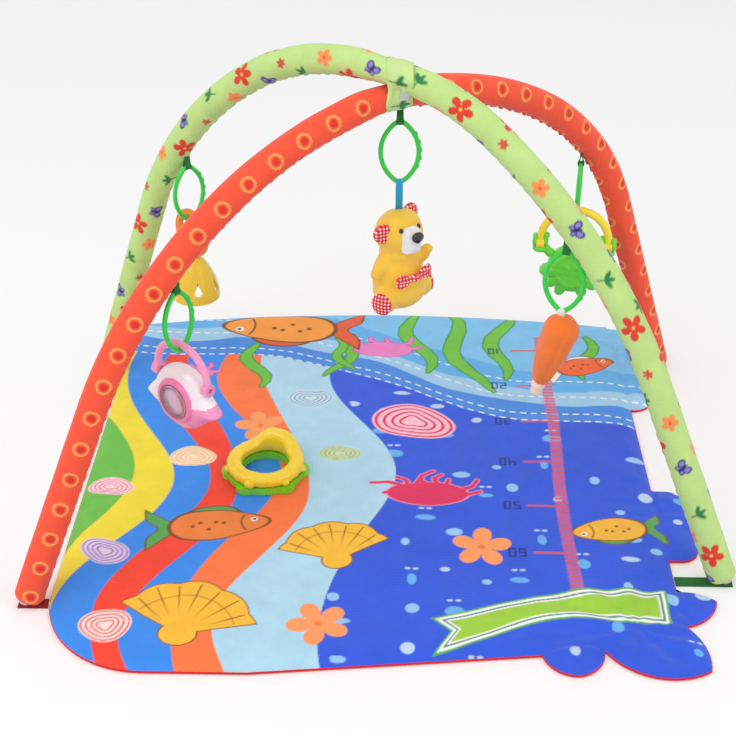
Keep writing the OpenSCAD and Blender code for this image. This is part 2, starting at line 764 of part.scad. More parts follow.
module bell_dome() {
    color("gold") below_link(hang_bl, heading_bl) difference() {
        union() {
            translate([0, 0, bell_top_z]) difference() {
                rotate_extrude() polygon(concat([[0, 0]], bell_profile(12, 0), [[0, -bell_h]]));
                translate([0, 0, -bell_wall]) rotate_extrude()
                    polygon(concat([[0, 0]], bell_profile(12, bell_wall), [[0, -bell_h]]));
                for (i = [0 : bell_slots - 1]) rotate([0, 0, (i + 0.5) * 360 / bell_slots])
                    translate([0, 0, -bell_h + slot_r + 12]) bell_slot();
            }
            translate([0, 0, eye_z]) rotate([90, 0, 0]) cylinder(r = eye_r, h = eye_l, center = true);
            for (side = [-1, 1]) translate([side * 3.2, 0, pivot_z])
                cube([1.6, 5, 2 * (bell_top_z - bell_wall - pivot_z) + 1], center = true);
        }
        translate([0, 0, eye_z]) rotate([90, 0, 0]) cylinder(r = eye_hole_r, h = bell_d, center = true);
        translate([0, 0, pivot_z]) rotate([0, 90, 0]) cylinder(r = 1 + pin_gap, h = 12, center = true);
    }
}

module bell_clapper() {
    color("orange") below_link(hang_bl, heading_bl) {
        translate([0, 0, ball_z]) sphere(bell_ball_d / 2);
        translate([0, 0, ball_z]) cylinder(r = ball_arm_r, h = pivot_z - ball_z);
        translate([0, 0, pivot_z]) rotate([0, 90, 0]) cylinder(r = ball_arm_r, h = 4.4, center = true);
        translate([0, 0, pivot_z]) rotate([0, 90, 0]) cylinder(r = 1, h = 8, center = true);
    }
}

// ---------------------------------------------------------------- round-rimmed toy bodies
// Disc standing upright with a fully rounded rim, facing front.
rim_steps = 10;
function rim_point(r, t, turn) = [r - t / 2 * (1 - cos(turn)), t / 2 * sin(turn)];
module pill(r, t) {
    rim = [for (i = [0 : rim_steps]) rim_point(r, t, 180 * i / rim_steps - 90)];
    rotate([90, 0, 0]) rotate_extrude() polygon(concat([[0, -t / 2]], rim, [[0, t / 2]]));
}

// Carrying handle: a half ring over two straight legs, with a flat eye at each end.
module handle(arch_r, thick, leg_l, boss_r, boss_t, bore) {
    difference() {
        union() {
            rotate([90, 0, 0]) rotate_extrude(angle = 180) translate([arch_r, 0]) circle(thick / 2);
            for (side = [-1, 1]) translate([side * arch_r, 0, -leg_l]) {
                cylinder(r = thick / 2, h = leg_l);
                rotate([0, 90, 0]) cylinder(r = boss_r, h = boss_t, center = true);
            }
        }
        translate([0, 0, -leg_l]) rotate([0, 90, 0]) cylinder(r = bore, h = 3 * arch_r, center = true);
    }
}

// ---------------------------------------------------------------- fish rattle
fish_turn = -38;
fish_handle_r = 41;
fish_leg_l = 6;
fish_boss_r = 8;
fish_boss_t = fish_handle_t;
fish_pin_r = 3;
fish_arch_z = wire_r + fish_handle_t / 2 + seat_gap - fish_handle_r;
fish_pivot_z = fish_arch_z - fish_leg_l;
fish_pivot_up = 24;
fish_z = fish_pivot_z - fish_pivot_up;
fish_wall = 2;
drum_wall = 1.2;
bezel_w = 4;
bezel_t = 2.5;
fin_reach = 18;
bead_r = 3;
bead_count = 9;

module on_fish() { below_link(hang_fl, fish_turn) children(); }
module in_fish() { on_fish() translate([0, 0, fish_z]) children(); }

module fish_handle() {
    color("hotpink") on_fish() translate([0, 0, fish_arch_z])
        handle(fish_handle_r, fish_handle_t, fish_leg_l, fish_boss_r, fish_boss_t, fish_pin_r + pin_gap);
}

// Hollow body with pointed side fins and a bore for the drum.
module fish_shell() {
    difference() {
        union() {
            pill(fish_d / 2, fish_t);
            for (side = [-1, 1]) translate([side * (fish_d / 2 - 8), 0, -6]) rotate([0, side * 90, 0])
                cylinder(r1 = 13, r2 = 1.5, h = fin_reach + 8);
        }
        pill(fish_d / 2 - fish_wall, fish_t - 2 * fish_wall);
        rotate([90, 0, 0]) cylinder(r = drum_d / 2, h = 2 * fish_t, center = true);
        for (side = [-1, 1]) translate([side * (fish_handle_r - fish_boss_t / 2 - seat_gap), 0, fish_pivot_up])
            rotate([0, side * 90, 0]) cylinder(r = fish_boss_r + 1, h = 30);
    }
}

// Pins that carry the handle's eyes, and the hubs they grow from.
module fish_pins() {
    for (side = [-1, 1]) translate([side * 27, 0, fish_pivot_up]) rotate([0, side * 90, 0]) {
        cylinder(r = fish_pin_r, h = fish_handle_r + fish_boss_t / 2 - 27);
        cylinder(r = fish_pin_r + 2, h = fish_handle_r - fish_boss_t / 2 - seat_gap - 27);
    }
}

module fish_half(up) {
    rotate([0, -8, 0]) translate([-big / 2, -big / 2, up ? 0 : -big]) cube(big);
}

module fish_back_shell() {
    color("white") in_fish() {
        intersection() {
            fish_shell();
            fish_half(true);
        }
        fish_pins();
    }
}

module fish_belly_shell() {
    color("hotpink") in_fish() {
        intersection() {
            fish_shell();
            fish_half(false);
        }
    }
}

// Clear drum through the body with a thick rim at both faces.
module fish_drum() {
    color("lightpink") in_fish() rotate([90, 0, 0]) difference() {
        union() {
            cylinder(r = drum_d / 2, h = fish_t, center = true);
            for (side = [0, 1]) mirror([0, 0, side]) translate([0, 0, fish_t / 2])
                cylinder(r = drum_d / 2 + bezel_w, h = bezel_t);
        }
        cylinder(r = drum_d / 2 - drum_wall, h = fish_t, center = true);
    }
}

module fish_beads() {
    lie_r = drum_d / 2 - drum_wall - bead_r - seat_gap;
    colours = ["dodgerblue", "gold", "tomato"];
    in_fish() for (row = [-1, 0, 1], i = [0 : bead_count / 3 - 1])
        rotate([0, (i - 1) * 2.1 * asin(bead_r / lie_r) + row * 5, 0]) color(colours[i % 3])
            translate([0, row * 2.2 * bead_r, -lie_r]) sphere(bead_r);
}

// ---------------------------------------------------------------- crab
crab_turn = -8;
crab_handle_r = 46;
crab_leg_l = 6;
crab_boss_r = 7.5;
crab_boss_t = crab_handle_t;
crab_pin_r = 2.5;
claw_r = 13;
claw_slot = crab_boss_t + 2;
crab_arch_z = wire_r + crab_handle_t / 2 + seat_gap - crab_handle_r;
crab_pivot_z = crab_arch_z - crab_leg_l;
crab_pivot_up = 36;
crab_z = crab_pivot_z - crab_pivot_up;
crab_wall = 2;
crab_arm_r = 6;
crab_foot_r = 7;
crab_foot_t = 12;
claw_t = 18;
crab_feet = [-8, -38, -66];

module on_crab() { below_link(hang_br, crab_turn) children(); }
module in_crab() { on_crab() translate([0, 0, crab_z]) children(); }

module crab_handle() {
    color("yellow") on_crab() translate([0, 0, crab_arch_z])
        handle(crab_handle_r, crab_handle_t, crab_leg_l, crab_boss_r, crab_boss_t, crab_pin_r + pin_gap);
}

// Upright plate from a flat drawing, with X across and Y up.
module crab_plate(thick) {
    rotate([90, 0, 0]) linear_extrude(thick, center = true) children();
}

// Hollow body with three stub feet on each side.
module crab_body() {
    color("limegreen") in_crab() difference() {
        union() {
            crab_plate(crab_t) circle(crab_d / 2);
            crab_plate(crab_foot_t) for (side = [0, 1], turn = crab_feet) mirror([side, 0])
                rotate(turn) translate([crab_d / 2 + 4, 0]) circle(crab_foot_r);
        }
        crab_plate(crab_t - 2 * crab_wall) circle(crab_d / 2 - crab_wall);
    }
}

// Raised claws: each is an arm and a round end, slotted for the handle's eye and crossed by a pin.
module crab_claws() {
    color("limegreen") in_crab() for (side = [0, 1]) mirror([side, 0, 0]) {
        difference() {
            crab_plate(claw_t) difference() {
                union() {
                    translate([crab_handle_r, crab_pivot_up]) circle(claw_r);
                    rotate(atan2(crab_pivot_up, crab_handle_r)) translate([0, -crab_arm_r])
                        square([norm([crab_pivot_up, crab_handle_r]), 2 * crab_arm_r]);
                }
                circle(crab_d / 2);
            }
            translate([crab_handle_r, 0, crab_pivot_up + claw_r / 2])
                cube([claw_slot, 4 * claw_r, claw_r + 2 * crab_boss_r + 1], center = true);
        }
        translate([crab_handle_r, 0, crab_pivot_up]) rotate([0, 90, 0])
            cylinder(r = crab_pin_r, h = claw_r * 1.6, center = true);
    }
}

// ---------------------------------------------------------------- soft carrot
carrot_tilt = 16;
carrot_neck = 2;
carrot_top_z = -wire_ride - tape_hole_r - tape_t - carrot_neck;
carrot_tip_l = 22;
carrot_tip_r = 9;

// Radius of the carrot at a share of its length: round shoulder, then a long taper.
function carrot_radius(share) =
    carrot_d / 2 * (share < 0.2 ? sqrt(1 - pow(1 - share / 0.2, 2))
        : 1 - (1 - 2 * carrot_tip_r / carrot_d) * pow((share - 0.2) / 0.8, 2.2));

module on_carrot() { below_link(hang_fr, heading_fr) children(); }
module carrot_axis() { translate([0, 0, carrot_top_z]) rotate([0, carrot_tilt, 0]) children(); }

module carrot_shape() {
    steps = 20;
    length = carrot_l - carrot_tip_l;
    rotate_extrude() polygon(concat([[0, 0]],
        [for (i = [1 : steps]) [carrot_radius(i / steps), -length * i / steps]], [[0, -length]]));
}

module carrot_loop() {
    color("white") on_carrot() difference() {
        tape_loop(-1, -carrot_top_z + 4);
        carrot_axis() carrot_shape();
    }
}

module carrot_body() { color("darkorange") on_carrot() carrot_axis() carrot_shape(); }

module carrot_tip() {
    color("mistyrose") on_carrot() carrot_axis() translate([0, 0, carrot_tip_l - carrot_l]) {
        translate([0, 0, carrot_tip_r - carrot_tip_l]) difference() {
            sphere(carrot_tip_r);
            translate([0, 0, big / 2]) cube(big, center = true);
        }
        translate([0, 0, carrot_tip_r - carrot_tip_l])
            cylinder(r = carrot_tip_r, h = carrot_tip_l - carrot_tip_r);
    }
}

// ---------------------------------------------------------------- ring rattle on the mat
ring_at = [-155, -34];
ring_turn = -20;
base_t = 9;
ring_tube = (ring_d - ring_hole_d) / 2;
ring_mid_r = (ring_d + ring_hole_d) / 4;
ring_top_h = 17;
ring_wall = 2;
hump_h = 34;
knob_r = 9;
leaf_r = 14;
ring_bead_r = 3;
leaves = [-152, -100, -32, 20, 160];

module on_mat() { translate([ring_at[0], ring_at[1], mat_t]) rotate([0, 0, ring_turn]) children(); }

// Half-round section of the ring, standing on the base.
module ring_section(inset) {
    translate([ring_mid_r, 0]) intersection() {
        union() {
            translate([0, ring_top_h - ring_tube / 2]) circle(ring_tube / 2 - inset);
            translate([inset - ring_tube / 2, -1])
                square([ring_tube - 2 * inset, ring_top_h - ring_tube / 2 + 1]);
        }
        translate([-ring_tube, 0]) square([2 * ring_tube, 3 * ring_top_h]);
    }
}

// Hump at the back: a taller slice of the ring with a round brow.
module hump(inset) {
    intersection() {
        difference() {
            cylinder(r = ring_d / 2 - inset, h = hump_h - inset);
            translate([0, 0, -1]) cylinder(r = ring_hole_d / 2 + inset, h = 3 * hump_h);
        }
        rotate([-90, 0, 0]) cylinder(r = hump_h - inset, h = ring_d);
    }
}

module ring_rattle_top() {
    color("yellow") on_mat() translate([0, 0, base_t]) difference() {
        union() {
            rotate_extrude() ring_section(0);
            hump(0);
            translate([0, -ring_mid_r - ring_tube / 2, 0]) cylinder(r = knob_r, h = ring_top_h * 0.6);
        }
        translate([0, 0, -0.5]) union() {
            rotate_extrude() ring_section(ring_wall);
            hump(ring_wall + 0.5);
        }
        translate([0, 0, -1]) cylinder(r = ring_hole_d / 2, h = hump_h * 2);
    }
}

module ring_rattle_base() {
    color("lawngreen") on_mat() difference() {
        union() {
            cylinder(r = ring_d / 2, h = base_t);
            for (turn = leaves) rotate([0, 0, turn]) translate([ring_d / 2 - leaf_r + 7, 0, 0])
                cylinder(r = leaf_r, h = base_t - 1);
        }
        translate([0, 0, -1]) cylinder(r = ring_hole_d / 2, h = base_t + 2);
    }
}

module ring_rattle_beads() {
    color("tomato") on_mat() for (i = [-3 : 3]) rotate([0, 0, 90 + i * 9])
        translate([ring_mid_r, 0, base_t + ring_bead_r + 0.2]) sphere(ring_bead_r);
}

mat_backing();
mat_filling();
mat_cover();
mat_binding();
tab_front_left();
tab_front_right();
tab_back_left();
tab_back_right();
tab_studs();
green_sleeve();
leg_rods(green_arch);  // green_leg_rods
shoulder_rods(green_arch);  // green_shoulder_rods
crown_rod(green_arch);  // green_crown_rod
couplers(green_arch);  // green_couplers
foot_caps(green_arch);  // green_foot_caps
orange_sleeve();
leg_rods(orange_arch);  // orange_leg_rods
shoulder_rods(orange_arch);  // orange_shoulder_rods
crown_rod(orange_arch);  // orange_crown_rod
couplers(orange_arch);  // orange_couplers
foot_caps(orange_arch);  // orange_foot_caps
foot_sockets();
crossing_strap();
strap_patch();
loop_centre();
loop_front_left();
loop_front_right();
loop_back_left();
loop_back_right();
link_centre();
link_front_left();
link_front_right();
link_back_left();
link_back_right();
bear_strap();
bear_body();
bear_muzzle();
bear_nose();
bear_eyes();
bear_ears();
bear_bow();
bear_foot_pads();
bell_ring();
bell_dome();
bell_clapper();
fish_handle();
fish_back_shell();
fish_belly_shell();
fish_drum();
fish_beads();
crab_handle();
crab_body();
crab_claws();
carrot_loop();
carrot_body();
carrot_tip();
ring_rattle_top();
ring_rattle_base();
ring_rattle_beads();
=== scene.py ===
import math

import bmesh
import bpy
import numpy as np
from mathutils import Matrix, Vector


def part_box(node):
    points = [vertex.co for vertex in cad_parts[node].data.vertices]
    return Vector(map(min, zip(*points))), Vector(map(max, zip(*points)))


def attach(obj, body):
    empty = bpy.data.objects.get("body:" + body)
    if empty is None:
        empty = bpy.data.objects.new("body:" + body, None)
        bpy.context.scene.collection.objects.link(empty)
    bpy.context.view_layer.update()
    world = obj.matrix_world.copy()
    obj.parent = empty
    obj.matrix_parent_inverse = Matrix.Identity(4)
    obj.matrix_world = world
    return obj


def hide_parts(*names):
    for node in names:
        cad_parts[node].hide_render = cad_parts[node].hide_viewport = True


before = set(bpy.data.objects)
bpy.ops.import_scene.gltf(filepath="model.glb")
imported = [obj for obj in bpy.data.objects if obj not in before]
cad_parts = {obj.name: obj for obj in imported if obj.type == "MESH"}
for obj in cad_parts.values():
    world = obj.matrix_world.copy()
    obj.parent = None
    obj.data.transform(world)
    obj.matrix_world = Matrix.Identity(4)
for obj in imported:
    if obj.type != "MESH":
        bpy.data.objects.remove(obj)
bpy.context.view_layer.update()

# ---------------------------------------------------------------- room
# A plain pale floor under soft studio light. The camera looks down on the
# gym from its front edge.
LENS, SENSOR_WIDTH = 68.48, 36
CAMERA_SPOT = (0.0127, -1.5606, 1.1256)
LOOK_DOWN, LOOK_LEFT = 31.83, 1.13
PURE_WHITE = (1, 1, 1, 1)
FLOOR_HALF = 8
FLOOR_SHADE, FLOOR_GLOW = 0.82, 0.14
SKY_LEVEL = 0.8
LAMP_SIZE = 2.4
LAMP_AIM = (0, 0, 0.15)


def new_object(name, data):
    obj = bpy.data.objects.new(name, data)
    bpy.context.scene.collection.objects.link(obj)
    return obj


camera_data = bpy.data.cameras.new("camera")
camera_data.lens = LENS
camera_data.sensor_width = SENSOR_WIDTH
camera = new_object("camera", camera_data)
camera.location = CAMERA_SPOT
camera.rotation_euler = (math.radians(90 - LOOK_DOWN), 0, math.radians(LOOK_LEFT))
bpy.context.scene.camera = camera
bpy.context.scene.view_settings.view_transform = "Standard"


def linear(colour):
    """An everyday 0 to 255 colour as the renderer's linear numbers."""
    parts = np.asarray(colour, float) / 255
    return np.where(parts <= 0.04045, parts / 12.92, ((parts + 0.055) / 1.055) ** 2.4)


def rgba(colour):
    return (*[float(part) for part in linear(colour)], 1.0)


def new_material(name):
    material = bpy.data.materials.new(name)
    material.use_nodes = True
    return material, material.node_tree, material.node_tree.nodes["Principled BSDF"]


def feed(tree, node, inputs):
    """Sets a shader node's inputs, each to a value or from another node's socket."""
    for name, value in inputs.items():
        if isinstance(value, bpy.types.NodeSocket):
            tree.links.new(value, node.inputs[name])
        else:
            node.inputs[name].default_value = value


def add_node(tree, kind, inputs, **settings):
    node = tree.nodes.new("ShaderNode" + kind)
    for name, value in settings.items():
        setattr(node, name, value)
    feed(tree, node, inputs)
    return node


def make_floor():
    material, tree, shader = new_material("floor_paint")
    feed(tree, shader, {"Base Color": (FLOOR_SHADE, FLOOR_SHADE, FLOOR_SHADE, 1), "Roughness": 0.7})
    path = add_node(tree, "LightPath", {})
    level = add_node(tree, "Math", {0: path.outputs["Is Camera Ray"], 1: FLOOR_GLOW}, operation="MULTIPLY")
    glow = add_node(tree, "Emission", {"Color": PURE_WHITE, "Strength": level.outputs[0]})
    both = add_node(tree, "AddShader", {0: shader.outputs[0], 1: glow.outputs[0]})
    feed(tree, tree.nodes["Material Output"], {"Surface": both.outputs[0]})
    data = bpy.data.meshes.new("floor")
    corners = [(x * FLOOR_HALF, y * FLOOR_HALF, 0) for x, y in ((-1, -1), (1, -1), (1, 1), (-1, 1))]
    data.from_pydata(corners, [], [(0, 1, 2, 3)])
    data.materials.append(material)
    new_object("floor", data)


def make_lights():
    world = bpy.data.worlds.new("studio")
    bpy.context.scene.world = world
    world.use_nodes = True
    tree = world.node_tree
    sky = tree.nodes["Background"]
    feed(tree, sky, {"Color": PURE_WHITE, "Strength": SKY_LEVEL})
    bright = add_node(tree, "Background", {"Color": PURE_WHITE, "Strength": 1.0})
    path = add_node(tree, "LightPath", {})
    mix = add_node(tree, "MixShader", {0: path.outputs["Is Camera Ray"],
                                       1: sky.outputs[0], 2: bright.outputs[0]})
    feed(tree, tree.nodes["World Output"], {"Surface": mix.outputs[0]})
    # A broad lamp high on the left, and a weaker one from the right.
    for name, spot, power in (("key", (-1.7, -1.5, 2.9), 34), ("fill", (2.2, -1.2, 2.0), 12)):
        lamp = bpy.data.lights.new(name, "AREA")
        lamp.energy = power
        lamp.size = LAMP_SIZE
        holder = new_object(name, lamp)
        holder.location = spot
        holder.rotation_euler = (Vector(LAMP_AIM) - Vector(spot)).to_track_quat("-Z", "Y").to_euler()


make_floor()
make_lights()

# ---------------------------------------------------------------- mat
# A thin padded play mat: printed polyester on top, red cloth below and polyester
# filling between, sewn together at the rim under a red bias binding.
MM = 0.001
mat_low, mat_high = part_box("mat_cover")
MAT_TOP = mat_high[2] / MM
SEAM_Z = mat_low[2] / MM
MAT_RIGHT = 362
RIM_WIDTH = 26
SEAM_DIP, SEAM_WIDTH = 2.6, 5
PUCKER_RISE, PUCKER_WIDTH = 1.7, 45
FOLD_CORNER, FOLD_RISE = (300, -330), 2.6
COVER_STEP, COVER_STEP_QUICK = 1.6, 4.0
BUBBLES, BUBBLE_GAP = 76, 32
SCALE_X, SCALE_TOP, SCALE_STEP = 240, 288, 97
PENNANT_Y, PENNANT_HALF = -337, 27
YELLOW = (243, 222, 52)
GREEN = (108, 190, 70)
BRIGHT_BLUE = (52, 140, 240)
RED = (250, 66, 42)
ORANGE = (255, 120, 62)
PALE_BLUE = (176, 218, 240)
ROYAL = (45, 88, 222)
NAVY = (24, 38, 110)
WHITE = (250, 250, 250)
# Where each wavy stripe ends across the mat, how far it swings, and its colour.
STRIPES = [(-30, 46, PALE_BLUE), (-140, 47, ORANGE), (-193, 53, BRIGHT_BLUE), (-240, 55, RED),
           (-286, 52, BRIGHT_BLUE), (-336, 54, YELLOW), (-381, 42, GREEN)]
# How far behind the shore each band of shallow water begins, and its colour.
SHALLOWS = [(0, (70, 140, 228)), (46, (160, 205, 236)), (84, (98, 178, 236)), (142, (128, 196, 240))]


def mesh_object(name, points, faces):
    """A smooth mesh from points in millimetres, linked to the scene."""
    data = bpy.data.meshes.new(name)
    data.from_pydata((np.asarray(points, float) * MM).tolist(), [], [list(map(int, face)) for face in faces])
    data.validate()
    data.polygons.foreach_set("use_smooth", [True] * len(data.polygons))
    data.update()
    return new_object(name, data)


def grid_faces(rows, columns, closed):
    """Quads of a grid of points, row by row; closed joins each row's end to its start."""
    across = columns if closed else columns - 1
    row, column = np.meshgrid(np.arange(rows - 1), np.arange(across), indexing="ij")
    row, column = row.ravel(), column.ravel()
    after = (column + 1) % columns
    return np.stack([row * columns + column, row * columns + after,
                     (row + 1) * columns + after, (row + 1) * columns + column], axis=1)


def hoop_faces(rows, sides):
    """Quads of a tube whose last ring of points joins its first."""
    return grid_faces(rows + 1, sides, True) % (rows * sides)


def top_outline(node):
    """The edge of a CAD node's top face, as points in millimetres in order."""
    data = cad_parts[node].data
    corners = np.empty(len(data.vertices) * 3)
    data.vertices.foreach_get("co", corners)
    spots, index = np.unique(np.round(corners.reshape(-1, 3), 6), axis=0, return_inverse=True)
    index = index.ravel()
    top = spots[:, 2].max() - 1e-5
    steps = set()
    for face in data.polygons:
        ring = [index[corner] for corner in face.vertices]
        if spots[ring, 2].min() > top:
            steps.update(zip(ring, ring[1:] + ring[:1]))
    follow = {a: b for a, b in steps if (b, a) not in steps}
    first = next(iter(follow))
    loop = [first]
    while follow[loop[-1]] != first:
        loop.append(follow[loop[-1]])
    return spots[loop, :2] / MM


def evenly(loop, step):
    """A closed loop of points put at even steps."""
    closed = np.vstack([loop, loop[:1]])
    travel = np.concatenate([[0], np.cumsum(np.linalg.norm(np.diff(closed, axis=0), axis=1))])
    marks = np.linspace(0, travel[-1], int(travel[-1] / step), endpoint=False)
    return np.stack([np.interp(marks, travel, closed[:, k]) for k in range(closed.shape[1])], axis=1)


def depth_inside(x, y, loop):
    """Distance in from a closed loop, minus outside it."""
    nearest = np.full(x.shape, 1e9)
    crossings = np.zeros(x.shape, int)
    for (ax, ay), (bx, by) in zip(loop, np.roll(loop, -1, axis=0)):
        length = (bx - ax) ** 2 + (by - ay) ** 2
        share = np.clip(((x - ax) * (bx - ax) + (y - ay) * (by - ay)) / max(length, 1e-9), 0, 1)
        nearest = np.minimum(nearest, (x - ax - share * (bx - ax)) ** 2 + (y - ay - share * (by - ay)) ** 2)
        if ay != by:
            side = (y < ay) != (y < by)
            crossings += side & (x < ax + (y - ay) * (bx - ax) / (by - ay))
    return np.where(crossings % 2 == 1, 1, -1) * np.sqrt(nearest)


def drift(x, y, size, seed):
    """Smooth random height from -1 to 1 with features about size across."""
    lattice = np.random.default_rng(seed).uniform(-1, 1, (64, 64))
    u, v = x / size + 20, y / size + 20
    i, j = np.floor(u).astype(int), np.floor(v).astype(int)
    fu, fv = u - i, v - j
    fu, fv = fu * fu * (3 - 2 * fu), fv * fv * (3 - 2 * fv)
    a, b = lattice[i % 64, j % 64], lattice[(i + 1) % 64, j % 64]
    c, d = lattice[i % 64, (j + 1) % 64], lattice[(i + 1) % 64, (j + 1) % 64]
    return (a * (1 - fu) + b * fu) * (1 - fv) + (c * (1 - fu) + d * fu) * fv


def to_segment(x, y, a, b):
    """Distance to the line from a to b, and the share of the way along it."""
    dx, dy = b[0] - a[0], b[1] - a[1]
    share = np.clip(((x - a[0]) * dx + (y - a[1]) * dy) / (dx * dx + dy * dy), 0, 1)
    return np.hypot(x - a[0] - share * dx, y - a[1] - share * dy), share


# Seams at the foot of each lobe and petal, where the cloth is drawn in.
PETALS = [((MAT_RIGHT - 4, -291), 18, 32),
          ((MAT_RIGHT - 46, -349), -36, 54),
          ((MAT_RIGHT - 138, -364), -84, 46)]
mat_seams = [((MAT_RIGHT - 3, 136), (MAT_RIGHT - 3, 366)), ((MAT_RIGHT - 3, -202), (MAT_RIGHT - 3, -58))]
for (px, py), turn, half in PETALS:
    across = (-math.sin(math.radians(turn)) * half, math.cos(math.radians(turn)) * half)
    mat_seams.append(((px - across[0], py - across[1]), (px + across[0], py + across[1])))


def mat_height(x, y, depth):
    """Height of the padded top: round at the rim, creased at the seams, softly uneven."""
    rim = 1 - (1 - np.clip(depth / RIM_WIDTH, 0, 1)) ** 2.4
    height = SEAM_Z + (MAT_TOP - SEAM_Z) * rim
    away = np.full(x.shape, 1e9)
    for a, b in mat_seams:
        away = np.minimum(away, to_segment(x, y, a, b)[0])
    height -= SEAM_DIP * np.exp(-(away / SEAM_WIDTH) ** 2) * rim
    pucker = np.exp(-(away / PUCKER_WIDTH) ** 2)
    height += pucker * PUCKER_RISE * drift(x, y * 2.2, 26, 3) * rim
    height += (1.5 * drift(x, y, 95, 1) + 0.9 * drift(x + y, y - x, 42, 2)) * rim
    # Long shallow folds fan in from the front right corner.
    u, v = x - FOLD_CORNER[0], y - FOLD_CORNER[1]
    fold = np.sin(np.arctan2(v, u) * 9)
    reach = np.hypot(u, v)
    return height + FOLD_RISE * fold * np.exp(-(reach / 170) ** 2) * np.clip(reach / 60, 0, 1) * rim


def lay(print_, mask, colour):
    """Prints a colour over what is there, where mask is 1."""
    print_ += (linear(colour) - print_) * mask[:, None]


def within(distance, soft=1.2):
    return np.clip(0.5 - distance / soft, 0, 1)


def oval_distance(x, y, centre, radii, turn=0.0):
    c, s = math.cos(turn), math.sin(turn)
    u = (x - centre[0]) * c + (y - centre[1]) * s
    v = (y - centre[1]) * c - (x - centre[0]) * s
    return (np.hypot(u / radii[0], v / radii[1]) - 1) * min(radii)


def petal_distance(x, y, centre, radius, count, depth, turn=0.0):
    """Distance to a flower shape with count round petals."""
    u, v = x - centre[0], y - centre[1]
    angle = np.arctan2(v, u) - turn
    edge = radius * (1 - depth + depth * np.abs(np.cos(angle * count / 2)) ** 0.7)
    return np.hypot(u, v) - edge


def pebble(print_, x, y, centre, radii, turn, line, ground):
    """A ground stone with wavering rings drawn inside it."""
    angle = np.arctan2(y - centre[1], x - centre[0])
    reach = oval_distance(x, y, centre, radii, turn) + 0.05 * min(radii) * np.sin(angle * 3 + centre[0])
    lay(print_, within(reach), ground)
    rings = np.abs((-reach / min(radii) * 5) % 1 - 0.5) - 0.18
    lay(print_, within(rings * min(radii) / 5, 0.8) * within(reach + 1.5), line)
    lay(print_, within(reach + 0.80 * min(radii)), ground)


def ribbon(print_, x, y, points, width, colour, edge):
    """A tapering frond along a bent line."""
    points = np.asarray(points, float)
    near = np.full(x.shape, 1e9)
    parts = len(points) - 1
    for k in range(parts):
        away, share = to_segment(x, y, points[k], points[k + 1])
        grown = np.clip((k + share) / parts * 0.9 + 0.08, 0, 1)
        near = np.minimum(near, away - width * np.sin(math.pi * grown) ** 0.6)
    lay(print_, within(near - 2), edge)
    lay(print_, within(near), colour)


def frond(start, length, lean, sway):
    """Bent line of points for a frond, growing from start."""
    share = np.linspace(0, 1, 9)
    side = sway * np.sin(share * 7 + start[0])
    return [(start[0] + lean * s * length + w, start[1] - length * s) for s, w in zip(share, side)]


def scallop(print_, x, y, centre, radius, turn, colour, line):
    """A fan shell with ribs."""
    u, v = x - centre[0], y - centre[1]
    reach = np.hypot(u, v)
    angle = (np.arctan2(v, u) - turn + math.pi) % (2 * math.pi) - math.pi
    edge = radius * (0.94 + 0.06 * np.abs(np.cos(angle * 5)))
    shape = np.maximum(reach - edge, (np.abs(angle) - 1.15) * reach)
    knob = oval_distance(x, y, centre, (radius * 0.2, radius * 0.24), turn)
    shape = np.minimum(shape, knob)
    lay(print_, within(shape - 1.6), line)
    lay(print_, within(shape), colour)
    ribs = np.abs((angle * 10 / math.pi + 0.5) % 1 - 0.5) * math.pi / 10 * reach - 0.8
    lay(print_, within(ribs) * within(shape + 4) * np.clip(reach / radius * 3 - 1, 0, 1), line)
    arc = np.abs(reach - radius * 0.72) - 0.8
    lay(print_, within(arc) * within(shape + 3) * 0.6, line)


def plain_fish(print_, x, y, centre, size, turn, colour, fin, line):
    """A simple side-on fish: oval body, forked tail, fins and spots."""
    c, s = math.cos(turn), math.sin(turn)
    u = ((x - centre[0]) * c + (y - centre[1]) * s) / size
    v = ((y - centre[1]) * c - (x - centre[0]) * s) / size
    body = (np.hypot(u, v / (0.46 - 0.12 * u)) - 1) * 0.45
    tail = np.maximum(np.abs(v) - (-u - 0.82) * 0.9 - 0.02, -u - 1.5 + 0.5 * np.exp(-(v / 0.2) ** 2) * 0.5)
    back = (np.hypot((u + 0.1) / 0.5, (v - 0.36) / 0.26) - 1) * 0.26
    for part, paint in ((tail, fin), (back, fin), (body, colour)):
        lay(print_, within((part - 0.035) * size), line)
        lay(print_, within(part * size), paint)
    gill = np.abs(np.hypot(u - 0.95, v) - 0.5) - 0.02
    lay(print_, within(gill * size) * within((body + 0.05) * size), line)
    for k in range(5):
        spot = np.hypot(u + 0.55 - 0.16 * k, v - 0.13 * math.sin(k * 2.3)) - 0.045
        lay(print_, within(spot * size), line)
    lay(print_, within((np.hypot(u - 0.72, v - 0.1) - 0.075) * size), WHITE)
    lay(print_, within((np.hypot(u - 0.73, v - 0.1) - 0.04) * size), NAVY)


def coral(print_, x, y, foot, size, colour, edge, branches):
    """A round-topped bush of waving arms on a domed base."""
    near = oval_distance(x, y, foot, (size * 0.72, size * 0.34))
    shares = [step / 5 for step in range(6)]
    for k in range(branches):
        lean = math.pi * (k + 0.5) / branches
        tip = size * (0.95 + 0.2 * math.sin(k * 2.1))
        bends = []
        for share in shares:
            way = lean + 0.18 * math.sin(share * 6 + k)
            bends.append((foot[0] + math.cos(way) * tip * share,
                          foot[1] + math.sin(way) * tip * 0.62 * share))
        for start, end, share in zip(bends, bends[1:], shares[1:]):
            near = np.minimum(near, to_segment(x, y, start, end)[0] - (5.0 - 2.4 * share))
    lay(print_, within(near - 1.4), edge)
    lay(print_, within(near), colour)


